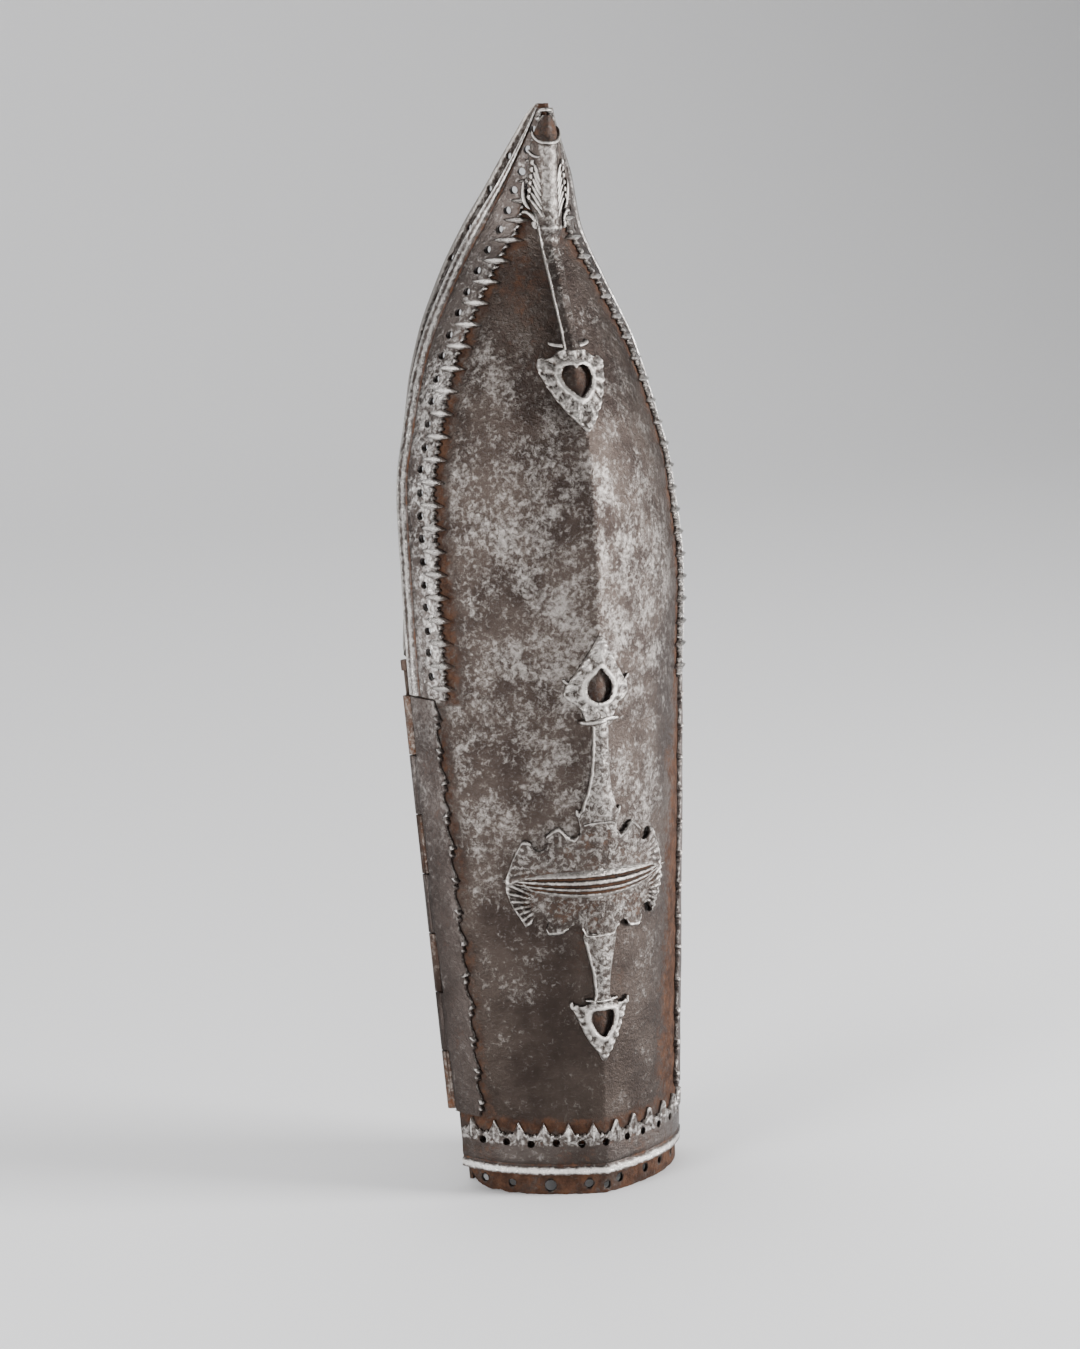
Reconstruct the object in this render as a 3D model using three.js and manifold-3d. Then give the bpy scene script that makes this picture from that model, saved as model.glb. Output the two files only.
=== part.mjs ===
import * as THREE from 'three';
import { mergeVertices } from 'three/addons/utils/BufferGeometryUtils.js';
import Module from 'manifold-3d';

const wasm = await Module();
wasm.setup();

// Sizes of the gutter plate, in millimetres
const guardLength = 400;
const elbowHalfWidth = 56;
const gutterDepth = 51;
const ridgeLean = 54.4;
const plateThickness = 1.4;
const marginWidth = 6.8;
const marginHole = 2.6;
const marginHolePitch = 13;
const footHoleHeight = 4;
const seatGap = 0.3;

// Sizes of the applied strips
const stripThickness = 1.3;
const rimHeight = 3.2;
const rimWidth = 2.8;
const rimOverhang = 0.2;
const borderWidth = 20;
const borderValley = 16.6;
const borderPitch = 8.3;
const strapWidth = 13;
const strapValley = 10.4;
const strapPitch = 12;
const stripJoint = 0.8;
const tipClearance = 7;

// Sizes of the wrist border
const wristFlangeHeight = 8;
const wristFlangeWidth = 2.4;
const wristFlangeStand = 3.6;
const wristValley = 15;
const wristBorderWidth = 19.5;
const wristPitch = 9.2;
const wristTeeth = 12;

// Sizes of the hinge and the inner wrist plate
const hingeFoot = 28.5;
const hingeLength = 156;
const knuckleRadius = 2.4;
const knuckleCount = 7;
const knuckleGap = 0.6;
const hingeRoom = 1.2;
const pinRadius = 1.1;
const pinClearance = 0.3;
const pinStand = 10;
const pinHeadRadius = 1.9;
const pinHeadLength = 3;
const wristPlateThickness = 1.3;
const wristPlateBulge = 18;
const closingGap = 0.6;

// Sizes of the two mounts on the ridge
const upperMountInset = 8;
const upperMountLength = 107.5;
const upperMountHalfWidth = 14;
const lowerMountTop = 211;
const lowerMountLength = 160;
const lowerMountHalfWidth = 12.8;
const mountThickness = 1.4;
const mountRaise = 3.2;
const palmetteHalfWidth = 34.6;
const palmetteHeight = 42.4;
const palmetteFoot = 97.4;
const palmetteThickness = 1.5;
const ribHalfLength = 36;
const ribHalfHeight = 5.6;
const ribRaise = 4.2;

// Sections of the plate. Height, width, depth and lean are shares of the sizes above.
// The turns, in degrees, say how far the flank has turned from crosswise at the ridge and the rim,
// and flare how much further the margin turns in.
const SECTIONS = [
  { height: 0.000, width: 0.779, depth: 0.594, lean: 0.000, ridgeTurn: 14, rimTurn: 66.0, flare: 14, margin: 1.00 },
  { height: 0.133, width: 0.834, depth: 0.649, lean: 0.066, ridgeTurn: 15, rimTurn: 67.5, flare: 14, margin: 1.00 },
  { height: 0.313, width: 0.914, depth: 0.761, lean: 0.123, ridgeTurn: 16, rimTurn: 68.5, flare: 14, margin: 1.00 },
  { height: 0.453, width: 0.970, depth: 0.886, lean: 0.131, ridgeTurn: 17, rimTurn: 69.0, flare: 14, margin: 1.00 },
  { height: 0.573, width: 1.000, depth: 0.939, lean: 0.153, ridgeTurn: 18, rimTurn: 70.0, flare: 40, margin: 1.00 },
  { height: 0.653, width: 0.973, depth: 1.000, lean: 0.226, ridgeTurn: 18, rimTurn: 70.0, flare: 40, margin: 1.00 },
  { height: 0.713, width: 0.884, depth: 0.961, lean: 0.335, ridgeTurn: 18, rimTurn: 69.0, flare: 34, margin: 1.00 },
  { height: 0.773, width: 0.761, depth: 0.814, lean: 0.544, ridgeTurn: 19, rimTurn: 68.5, flare: 24, margin: 1.00 },
  { height: 0.833, width: 0.564, depth: 0.625, lean: 0.770, ridgeTurn: 20, rimTurn: 65.0, flare: 17, margin: 1.00 },
  { height: 0.883, width: 0.380, depth: 0.422, lean: 0.938, ridgeTurn: 22, rimTurn: 61.0, flare: 14, margin: 1.00 },
  { height: 0.933, width: 0.229, depth: 0.182, lean: 0.989, ridgeTurn: 24, rimTurn: 55.0, flare: 14, margin: 0.95 },
  { height: 0.988, width: 0.057, depth: 0.059, lean: 0.996, ridgeTurn: 26, rimTurn: 48.0, flare: 14, margin: 0.60 },
  { height: 1.000, width: 0.029, depth: 0.027, lean: 1.000, ridgeTurn: 27, rimTurn: 45.0, flare: 14, margin: 0.20 },
];

// Outline of the upper mount from the tip cup down. Down is a share of its length, half of its half width,
// raise of its full relief along the ridge line, and over is 1 where it lies on the border strips.
const UPPER_MOUNT = [
  { down: 0.000, half: 0.08, raise: 0.50, over: 1 },
  { down: 0.040, half: 0.28, raise: 0.80, over: 1 },
  { down: 0.085, half: 0.46, raise: 1.00, over: 1 },
  { down: 0.130, half: 0.58, raise: 1.00, over: 1 },
  { down: 0.190, half: 0.60, raise: 1.00, over: 1 },
  { down: 0.270, half: 0.56, raise: 0.80, over: 1 },
  { down: 0.300, half: 0.32, raise: 0.70, over: 1 },
  { down: 0.320, half: 0.40, raise: 1.00, over: 1 },
  { down: 0.345, half: 0.33, raise: 0.80, over: 1 },
  { down: 0.400, half: 0.30, raise: 0.80, over: 0 },
  { down: 0.708, half: 0.21, raise: 0.60, over: 0 },
  { down: 0.716, half: 0.50, raise: 0.90, over: 0 },
  { down: 0.732, half: 0.50, raise: 0.90, over: 0 },
  { down: 0.740, half: 0.30, raise: 0.60, over: 0 },
  { down: 0.752, half: 0.56, raise: 0.50, over: 0 },
  { down: 0.780, half: 1.00, raise: 0.50, over: 0 },
  { down: 0.840, half: 0.93, raise: 0.55, over: 0 },
  { down: 0.900, half: 0.74, raise: 0.55, over: 0 },
  { down: 0.955, half: 0.44, raise: 0.50, over: 0 },
  { down: 1.000, half: 0.06, raise: 0.40, over: 0 },
];

// Outline of the lower mount's spine, from the upper leaf down to the tip of the lower leaf
const LOWER_MOUNT = [
  { down: 0.000, half: 0.06, raise: 0.40, over: 0 },
  { down: 0.040, half: 0.42, raise: 0.50, over: 0 },
  { down: 0.088, half: 0.77, raise: 0.55, over: 0 },
  { down: 0.134, half: 1.00, raise: 0.50, over: 0 },
  { down: 0.156, half: 0.70, raise: 0.50, over: 0 },
  { down: 0.180, half: 0.47, raise: 0.50, over: 0 },
  { down: 0.187, half: 0.64, raise: 0.90, over: 0 },
  { down: 0.203, half: 0.64, raise: 0.90, over: 0 },
  { down: 0.210, half: 0.24, raise: 0.70, over: 0 },
  { down: 0.300, half: 0.31, raise: 0.80, over: 0 },
  { down: 0.375, half: 0.40, raise: 0.90, over: 0 },
  { down: 0.412, half: 0.64, raise: 0.90, over: 0 },
  { down: 0.440, half: 0.50, raise: 0.90, over: 0 },
  { down: 0.580, half: 0.50, raise: 0.90, over: 0 },
  { down: 0.725, half: 0.50, raise: 0.90, over: 0 },
  { down: 0.843, half: 0.22, raise: 0.70, over: 0 },
  { down: 0.850, half: 0.47, raise: 0.90, over: 0 },
  { down: 0.862, half: 0.47, raise: 0.90, over: 0 },
  { down: 0.868, half: 0.32, raise: 0.50, over: 0 },
  { down: 0.874, half: 0.90, raise: 0.50, over: 0 },
  { down: 0.906, half: 0.82, raise: 0.55, over: 0 },
  { down: 0.955, half: 0.52, raise: 0.50, over: 0 },
  { down: 1.000, half: 0.06, raise: 0.40, over: 0 },
];

// Scalloped palmette under the rib: top and foot edges as shares of its height, from the ridge outwards
const PALMETTE = [
  { out: 0.00, foot: 0.00, top: 0.94 },
  { out: 0.16, foot: 0.00, top: 0.95 },
  { out: 0.26, foot: 0.07, top: 0.93 },
  { out: 0.35, foot: 0.03, top: 0.95 },
  { out: 0.42, foot: 0.02, top: 1.00 },
  { out: 0.55, foot: 0.06, top: 0.94 },
  { out: 0.61, foot: 0.12, top: 0.86 },
  { out: 0.70, foot: 0.14, top: 0.87 },
  { out: 0.80, foot: 0.11, top: 0.87 },
  { out: 0.84, foot: 0.17, top: 0.88 },
  { out: 0.90, foot: 0.24, top: 0.79 },
  { out: 0.94, foot: 0.32, top: 0.69 },
  { out: 1.00, foot: 0.43, top: 0.56 },
];

// Monotone smooth reading of one column of the section table
const tangents = {};
for (const name of Object.keys(SECTIONS[0])) {
  const steps = SECTIONS.slice(1).map((row, i) => {
    return (row[name] - SECTIONS[i][name]) / (row.height - SECTIONS[i].height);
  });
  tangents[name] = SECTIONS.map((row, i) => {
    const before = steps[Math.max(i - 1, 0)];
    const after = steps[Math.min(i, steps.length - 1)];
    return before * after > 0 ? (2 * before * after) / (before + after) : 0;
  });
}

function readSection(name, share) {
  const last = SECTIONS.length - 2;
  const next = SECTIONS.findIndex((row) => row.height > share);
  const i = next < 0 ? last : Math.max(next - 1, 0);
  const span = SECTIONS[i + 1].height - SECTIONS[i].height;
  const t = (share - SECTIONS[i].height) / span;
  const start = (1 + 2 * t) * (1 - t) ** 2 * SECTIONS[i][name];
  const end = t * t * (3 - 2 * t) * SECTIONS[i + 1][name];
  const leave = t * (1 - t) ** 2 * span * tangents[name][i];
  const arrive = t * t * (t - 1) * span * tangents[name][i + 1];
  return start + end + leave + arrive;
}

// One flank of the gutter at a height: a curve from the ridge to the rim, then the straight margin
const flankPull = 0.36;
const sections = new Map();

function sectionAt(height) {
  if (!sections.has(height)) {
    const share = height / guardLength;
    const ridgeTurn = THREE.MathUtils.degToRad(readSection('ridgeTurn', share));
    const rimTurn = THREE.MathUtils.degToRad(readSection('rimTurn', share));
    const ridge = new THREE.Vector2(0, ridgeLean * readSection('lean', share));
    const width = elbowHalfWidth * readSection('width', share);
    const rim = new THREE.Vector2(width, ridge.y + gutterDepth * readSection('depth', share));
    const pull = flankPull * ridge.distanceTo(rim);
    const leave = new THREE.Vector2(Math.cos(ridgeTurn), Math.sin(ridgeTurn));
    const arrive = new THREE.Vector2(Math.cos(rimTurn), Math.sin(rimTurn));
    const curve = new THREE.CubicBezierCurve(
      ridge,
      ridge.clone().addScaledVector(leave, pull),
      rim.clone().addScaledVector(arrive, -pull),
      rim,
    );
    const outTurn = rimTurn + THREE.MathUtils.degToRad(readSection('flare', share));
    sections.set(height, {
      curve,
      flank: curve.getLength(),
      ridgeTurn,
      marginWay: new THREE.Vector2(Math.cos(outTurn), Math.sin(outTurn)),
      margin: marginWidth * readSection('margin', share),
    });
  }
  return sections.get(height);
}

// A point over the plate: reach is measured along the flank from the ridge, left negative,
// and lift is how far it stands off the outer face.
function onPlate(reach, height, lift) {
  const section = sectionAt(height);
  const side = reach < 0 ? -1 : 1;
  const along = Math.abs(reach);
  const place = section.curve.getPointAt(Math.min(along / section.flank, 1));
  let way = section.curve.getTangentAt(Math.min(along / section.flank, 1));
  if (along > section.flank) {
    way = section.marginWay;
    place.addScaledVector(way, along - section.flank);
  }
  if (along === 0) {
    return new THREE.Vector3(0, place.y - lift / Math.cos(section.ridgeTurn), height);
  }
  return new THREE.Vector3(side * (place.x + way.y * lift), place.y - way.x * lift, height);
}

// Closed solid between an outer and an inner grid of points, rows upwards and columns to the right
function closedSheet(front, back) {
  const rows = front.length;
  const columns = front[0].length;
  const index = [];
  const outer = (i, j) => i * columns + j;
  const inner = (i, j) => rows * columns + i * columns + j;
  const quad = (a, b, c, d) => index.push(a, b, c, a, c, d);
  for (let i = 0; i < rows - 1; i += 1) {
    for (let j = 0; j < columns - 1; j += 1) {
      quad(outer(i, j), outer(i, j + 1), outer(i + 1, j + 1), outer(i + 1, j));
      quad(inner(i, j), inner(i + 1, j), inner(i + 1, j + 1), inner(i, j + 1));
    }
    quad(outer(i + 1, 0), inner(i + 1, 0), inner(i, 0), outer(i, 0));
    quad(outer(i, columns - 1), inner(i, columns - 1), inner(i + 1, columns - 1), outer(i + 1, columns - 1));
  }
  for (let j = 0; j < columns - 1; j += 1) {
    quad(outer(0, j), inner(0, j), inner(0, j + 1), outer(0, j + 1));
    quad(outer(rows - 1, j + 1), inner(rows - 1, j + 1), inner(rows - 1, j), outer(rows - 1, j));
  }
  const geometry = new THREE.BufferGeometry();
  const points = [...front.flat(), ...back.flat()];
  geometry.setAttribute('position', new THREE.Float32BufferAttribute(points.flatMap((p) => p.toArray()), 3));
  geometry.setIndex(index);
  return geometry;
}

function mirrored(geometry) {
  const copy = geometry.clone().scale(-1, 1, 1);
  const index = Array.from(copy.index.array);
  for (let i = 0; i < index.length; i += 3) {
    [index[i + 1], index[i + 2]] = [index[i + 2], index[i + 1]];
  }
  copy.setIndex(index);
  return copy;
}

function solidOf(geometry) {
  const plain = geometry.clone();
  plain.deleteAttribute('normal');
  plain.deleteAttribute('uv');
  const welded = mergeVertices(plain, 1e-4);
  return new wasm.Manifold(new wasm.Mesh({
    numProp: 3,
    vertProperties: new Float32Array(welded.attributes.position.array),
    triVerts: new Uint32Array(welded.index.array),
  }));
}

function geometryOf(solid) {
  const mesh = solid.getMesh();
  const geometry = new THREE.BufferGeometry();
  geometry.setAttribute('position', new THREE.BufferAttribute(new Float32Array(mesh.vertProperties), 3));
  geometry.setIndex(new THREE.BufferAttribute(new Uint32Array(mesh.triVerts), 1));
  return geometry;
}

function rod(from, to, radius, sides) {
  const way = to.clone().sub(from);
  const geometry = new THREE.CylinderGeometry(radius, radius, way.length(), sides);
  geometry.applyQuaternion(new THREE.Quaternion().setFromUnitVectors(new THREE.Vector3(0, 1, 0), way.normalize()));
  const middle = from.clone().add(to).multiplyScalar(0.5);
  return geometry.translate(middle.x, middle.y, middle.z);
}

function steps(from, to, count) {
  return Array.from({ length: count + 1 }, (_, i) => from + ((to - from) * i) / count);
}

function drill(solid, reach, height, radius) {
  const depth = rimHeight + plateThickness;
  return solid.subtract(solidOf(rod(onPlate(reach, height, -depth), onPlate(reach, height, depth), radius, 6)));
}

// Hinge line, straight along the middle of the left margin beside the wrist
const hingeMiddle = (height) => {
  const section = sectionAt(height);
  return onPlate(-section.flank - marginWidth / 2, height, 0);
};
const hingeStart = hingeMiddle(hingeFoot);
const hingeRise = hingeMiddle(hingeFoot + hingeLength).sub(hingeStart).divideScalar(hingeLength);
const onHinge = (up) => hingeStart.clone().addScaledVector(hingeRise, up);
const hingeRod = (from, to, radius, sides) => rod(onHinge(from), onHinge(to), radius, sides);
const knuckleLength = hingeLength / knuckleCount;

// Gutter plate: one sheet with a crease down the ridge and a pierced margin past both rims
const kneeHeight = guardLength * 0.62;
const plateHeights = [
  ...steps(0, kneeHeight, 10),
  ...steps(kneeHeight, guardLength, 21).slice(1),
];
const plateColumns = (section) => {
  const flank = steps(0, section.flank, 8);
  const right = [...flank, section.flank + section.margin];
  return [...right.slice(1).map((reach) => -reach).reverse(), ...right];
};
const plateFace = (lift) => plateHeights.map((height) => {
  return plateColumns(sectionAt(height)).map((reach) => onPlate(reach, height, lift));
});
let plateSolid = solidOf(closedSheet(plateFace(0), plateFace(-plateThickness)));
const hingeNotchTop = hingeFoot + hingeLength + pinStand + pinHeadLength + knuckleGap;
const notchFace = (lift) => steps(-1, hingeNotchTop, 24).map((height) => {
  const rim = sectionAt(height).flank;
  return [rim + marginWidth + hingeRoom, rim - seatGap].map((reach) => onPlate(-reach, height, lift));
});
plateSolid = plateSolid.subtract(solidOf(closedSheet(notchFace(hingeRoom), notchFace(-plateThickness - hingeRoom))));
const barrelRoom = knuckleRadius + knuckleGap;
plateSolid = plateSolid.subtract(solidOf(hingeRod(0, hingeNotchTop - hingeFoot, barrelRoom, 12)));
const holeStart = hingeNotchTop + marginHolePitch;
const holeEnd = guardLength - marginHolePitch;
const holeCount = Math.round((holeEnd - holeStart) / marginHolePitch);
for (const height of steps(holeStart, holeEnd, holeCount)) {
  const section = sectionAt(height);
  const reach = section.flank + section.margin * 0.55;
  plateSolid = drill(plateSolid, reach, height, marginHole / 2);
  plateSolid = drill(plateSolid, -reach, height, marginHole / 2);
}
for (const k of steps(-wristTeeth / 2, wristTeeth / 2, wristTeeth)) {
  plateSolid = drill(plateSolid, k * wristPitch * 0.98, footHoleHeight, marginHole / 2);
}

// Toothed strip along the right edge, with a standing rim on its outer side
function edgeStrip({ from, to, pitch, width, valley, rootWidth, overhang, stand }) {
  const line = new THREE.CatmullRomCurve3(steps(from, to, 60).map((height) => {
    return onPlate(sectionAt(height).flank, height, 0);
  }));
  const count = 2 * Math.round(line.getLength() / pitch);
  const stations = line.getSpacedPoints(count);
  const front = [];
  const back = [];
  stations.forEach((point, i) => {
    const height = i === 0 ? from : i === count ? to : point.z;
    const section = sectionAt(height);
    const nearby = stations[i === count ? i - 1 : i + 1];
    const slant = nearby.distanceTo(point) / Math.abs(nearby.z - point.z);
    const tooth = (i % 2 ? width : valley) * slant;
    const inward = Math.min(tooth, section.flank * 0.8);
    const root = Math.min(rootWidth * slant, inward / 2);
    const third = (inward - root) / 3;
    const inwards = [inward, inward - third, inward - 2 * third, root + seatGap, root, -overhang];
    const reaches = inwards.map((q) => section.flank - q);
    const flat = seatGap + stripThickness;
    const lifts = [flat, flat, flat, flat, seatGap + stand, seatGap + stand];
    front.push(reaches.map((reach, j) => onPlate(reach, height, lifts[j])));
    back.push(reaches.map((reach) => onPlate(reach, height, seatGap)));
  });
  return closedSheet(front, back);
}
const strapFoot = hingeFoot;
const strapTop = hingeFoot + hingeLength;
const borderFoot = strapTop + stripJoint;
const borderTop = guardLength - tipClearance;
const standingRim = { rootWidth: rimWidth, overhang: rimOverhang, stand: rimHeight };
const border = edgeStrip({
  from: borderFoot, to: borderTop, pitch: borderPitch, width: borderWidth, valley: borderValley, ...standingRim,
});
const strapShape = { from: strapFoot, to: strapTop, pitch: strapPitch, width: strapWidth, valley: strapValley };
const strap = edgeStrip({ ...strapShape, ...standingRim });
const leaf = edgeStrip({ ...strapShape, rootWidth: 0, overhang: marginWidth / 2, stand: stripThickness });
const hingeLeaf = mirrored(leaf);

// Hinge strap: the left strap with every second knuckle, cleared for the other plate's knuckles
let strapSolid = solidOf(hingeLeaf);
const knuckles = [];
const pivotBore = pinRadius + pinClearance;
for (let k = 0; k < knuckleCount; k += 1) {
  knuckles.push({
    from: k * knuckleLength + knuckleGap / 2,
    to: (k + 1) * knuckleLength - knuckleGap / 2,
    clearFrom: k * knuckleLength - knuckleGap / 2,
    clearTo: (k + 1) * knuckleLength + knuckleGap / 2,
    outer: k % 2 === 1,
  });
}
const leafKnuckles = knuckles.filter((knuckle) => knuckle.outer);
const innerKnuckles = knuckles.filter((knuckle) => !knuckle.outer);
for (const knuckle of leafKnuckles) {
  strapSolid = strapSolid.add(solidOf(hingeRod(knuckle.from, knuckle.to, knuckleRadius, 12)));
}
for (const knuckle of innerKnuckles) {
  strapSolid = strapSolid.subtract(solidOf(hingeRod(knuckle.clearFrom, knuckle.clearTo, barrelRoom, 12)));
}
strapSolid = strapSolid.subtract(solidOf(hingeRod(-1, hingeLength + 1, pivotBore, 12)));

// Wrist border: a toothed strip round the wrist end with a flange that stands out at its foot
const wristColumns = steps(-wristTeeth / 2, wristTeeth / 2, 2 * wristTeeth);
const wristRows = [
  { up: 0, lift: wristFlangeStand },
  { up: wristFlangeWidth, lift: wristFlangeStand },
  { up: wristFlangeWidth + seatGap, lift: seatGap + stripThickness },
  { up: wristValley * 0.6, lift: seatGap + stripThickness },
  { up: null, lift: seatGap + stripThickness },
];
const wristFace = (outer) => wristRows.map((row) => wristColumns.map((k, j) => {
  const edge = j % 2 ? wristBorderWidth : wristValley;
  const up = row.up === null ? edge : row.up;
  return onPlate(k * wristPitch, wristFlangeHeight + up, outer ? row.lift : seatGap);
}));
const wristBorder = closedSheet(wristFace(true), wristFace(false));

// Ornament on the ridge, ruled across from a table of half widths
function spine(table, top, length, halfWidth, lift, thickness) {
  const shares = [-1, -0.5, 0, 0.5, 1];
  const rows = table.slice().reverse();
  const face = (outer) => rows.map((row) => shares.map((share) => {
    const raise = thickness + (mountRaise - thickness) * row.raise * (1 - Math.abs(share));
    const seat = lift + row.over * (seatGap + stripThickness);
    return onPlate(share * row.half * halfWidth, top - row.down * length, outer ? seat + raise : seat);
  }));
  return closedSheet(face(true), face(false));
}

function piercing(centre, halfWidth, up, down) {
  const outline = new THREE.Shape();
  outline.moveTo(0, up);
  outline.quadraticCurveTo(halfWidth, up * 0.4, halfWidth, -down * 0.15);
  outline.quadraticCurveTo(halfWidth * 0.6, -down, 0, -down * 0.8);
  outline.quadraticCurveTo(-halfWidth * 0.6, -down, -halfWidth, -down * 0.15);
  outline.quadraticCurveTo(-halfWidth, up * 0.4, 0, up);
  const depth = 12;
  const cutter = new THREE.ExtrudeGeometry(outline, { depth, bevelEnabled: false, curveSegments: 4 });
  cutter.rotateX(Math.PI / 2);
  const seat = onPlate(0, centre, 0);
  return solidOf(cutter.translate(0, seat.y + depth / 2, centre));
}

const upperMountTop = guardLength - upperMountInset;
const upperLeaf = upperMountTop - upperMountLength * 0.83;
const upperMount = solidOf(spine(
  UPPER_MOUNT, upperMountTop, upperMountLength, upperMountHalfWidth, seatGap, mountThickness,
)).subtract(piercing(upperLeaf, upperMountHalfWidth * 0.44, 5, 7));

// Lower mount: the spine with its two leaves, the palmette it carries and the ribbed bar across
const palmetteColumns = [
  ...PALMETTE.slice(1).reverse().map((column) => ({ ...column, out: -column.out })),
  ...PALMETTE,
];
const palmetteFace = (lift) => steps(0, 1, 3).map((share) => palmetteColumns.map((column) => {
  const up = column.foot + (column.top - column.foot) * share;
  return onPlate(column.out * palmetteHalfWidth, palmetteFoot + up * palmetteHeight, lift);
}));
const palmette = closedSheet(palmetteFace(seatGap + palmetteThickness), palmetteFace(seatGap));
const ribMiddle = palmetteFoot + palmetteHeight * 0.49;
const ribFace = (outer) => [-1, -0.6, 0, 0.6, 1].map((up) => steps(-1, 1, 12).map((out) => {
  const boat = Math.max(Math.sqrt(1 - out * out), 0.2);
  const raise = ribRaise * Math.sqrt(1 - 0.9 * up * up) * Math.max(boat, 0.5);
  return onPlate(out * ribHalfLength, ribMiddle + up * boat * ribHalfHeight, outer ? raise : seatGap * 2);
}));
const rib = closedSheet(ribFace(true), ribFace(false));
const lowerSpine = spine(
  LOWER_MOUNT, lowerMountTop, lowerMountLength, lowerMountHalfWidth, seatGap * 1.5, mountThickness,
);
const leafPiercings = [
  piercing(lowerMountTop - lowerMountLength * 0.145, lowerMountHalfWidth * 0.42, 7.5, 6),
  piercing(lowerMountTop - lowerMountLength * 0.92, lowerMountHalfWidth * 0.38, 5, 6),
];
let lowerMount = solidOf(lowerSpine);
for (const cutter of leafPiercings) {
  lowerMount = lowerMount.subtract(cutter);
}
lowerMount = lowerMount.add(solidOf(palmette)).add(solidOf(rib));

// Inner wrist plate: closes the wrist from behind and turns on the hinge
const wristPlateHeights = steps(0, strapTop, 8);
const wristPlateFace = (depth) => wristPlateHeights.map((height) => {
  const section = sectionAt(height);
  const right = onPlate(section.flank + section.margin, height, -plateThickness / 2);
  const left = onHinge(height - hingeFoot);
  left.y += knuckleRadius - wristPlateThickness / 2;
  right.y += closingGap + wristPlateThickness / 2;
  return steps(-1, 1, 12).map((share) => {
    const across = left.clone().lerp(right, (share + 1) / 2);
    const slope = (-2 * wristPlateBulge * share * 2) / (right.x - left.x);
    const normal = new THREE.Vector2(slope, -1).normalize();
    across.y += wristPlateBulge * (1 - share * share);
    return new THREE.Vector3(across.x + normal.x * depth, across.y + normal.y * depth, height);
  });
});
let wristPlateSolid = solidOf(closedSheet(
  wristPlateFace(wristPlateThickness / 2),
  wristPlateFace(-wristPlateThickness / 2),
));
for (const knuckle of innerKnuckles) {
  wristPlateSolid = wristPlateSolid.add(solidOf(hingeRod(knuckle.from, knuckle.to, knuckleRadius, 12)));
}
for (const knuckle of leafKnuckles) {
  const spare = hingeRod(knuckle.clearFrom, knuckle.clearTo, barrelRoom, 12);
  wristPlateSolid = wristPlateSolid.subtract(solidOf(spare));
}
wristPlateSolid = wristPlateSolid.subtract(solidOf(hingeRod(-1, hingeLength + 1, pivotBore, 12)));

// Hinge pin with its turned head
const pinSolid = solidOf(hingeRod(0, hingeLength + pinStand, pinRadius, 10)).add(
  solidOf(hingeRod(hingeLength + pinStand - 1, hingeLength + pinStand + pinHeadLength, pinHeadRadius, 10)),
);

// Materials and assembly
const agedSteel = { color: 0x6a6460, roughness: 0.5, metalness: 0.9 };
const brightSteel = { color: 0x9c9893, roughness: 0.38, metalness: 0.95 };
const rustySteel = { color: 0x6f5240, roughness: 0.75, metalness: 0.6 };

function piece(name, geometry, look) {
  const mesh = new THREE.Mesh(geometry, new THREE.MeshStandardMaterial(look));
  mesh.name = name;
  return mesh;
}

const outerGuard = new THREE.Group();
outerGuard.name = 'outer_guard';
outerGuard.add(
  piece('plate', geometryOf(plateSolid), agedSteel),
  piece('left_border', mirrored(border), brightSteel),
  piece('right_border', border, brightSteel),
  piece('wrist_border', wristBorder, brightSteel),
  piece('hinge_strap', geometryOf(strapSolid), brightSteel),
  piece('right_strap', strap, brightSteel),
  piece('upper_ridge_mount', geometryOf(upperMount), brightSteel),
  piece('lower_ridge_mount', geometryOf(lowerMount), brightSteel),
  piece('hinge_pin', geometryOf(pinSolid), rustySteel),
);

const innerGuard = new THREE.Group();
innerGuard.name = 'inner_guard';
innerGuard.add(piece('wrist_plate', geometryOf(wristPlateSolid), rustySteel));

const armGuard = new THREE.Group();
armGuard.name = 'arm_guard';
armGuard.add(outerGuard, innerGuard);
const extent = new THREE.Box3().setFromObject(armGuard);
const middle = extent.getCenter(new THREE.Vector3());
armGuard.position.set(-middle.x, -middle.y, -extent.min.z);
armGuard.updateMatrixWorld(true);

export default armGuard;
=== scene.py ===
import math

import bmesh
import bpy
import numpy as np
from mathutils import Matrix, Vector


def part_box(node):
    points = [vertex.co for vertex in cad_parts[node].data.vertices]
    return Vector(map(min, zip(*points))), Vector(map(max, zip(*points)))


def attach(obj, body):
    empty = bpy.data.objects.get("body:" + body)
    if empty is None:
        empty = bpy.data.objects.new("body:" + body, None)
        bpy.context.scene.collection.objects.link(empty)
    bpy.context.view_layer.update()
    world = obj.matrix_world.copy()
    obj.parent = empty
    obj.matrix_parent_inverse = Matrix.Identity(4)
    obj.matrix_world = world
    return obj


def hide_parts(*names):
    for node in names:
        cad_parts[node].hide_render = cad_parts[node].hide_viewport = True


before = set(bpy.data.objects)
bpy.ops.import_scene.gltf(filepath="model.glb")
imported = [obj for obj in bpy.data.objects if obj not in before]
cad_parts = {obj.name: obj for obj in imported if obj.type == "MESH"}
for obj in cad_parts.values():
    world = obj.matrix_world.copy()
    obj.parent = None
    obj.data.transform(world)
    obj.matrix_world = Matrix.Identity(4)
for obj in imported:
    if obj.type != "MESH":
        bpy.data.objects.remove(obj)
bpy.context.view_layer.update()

# Gutter plate: one sheet of steel beaten into a ridged gutter that leans back to a pointed
# elbow tip, with a pierced margin past both rims. Its sections come from the same short
# table as the solid that it replaces. Sizes here are in millimetres.
GUARD_LENGTH = 400.0
ELBOW_HALF_WIDTH = 56.0
GUTTER_DEPTH = 51.0
RIDGE_LEAN = 54.4
PLATE_THICKNESS = 1.4
MARGIN_WIDTH = 6.8
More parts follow.
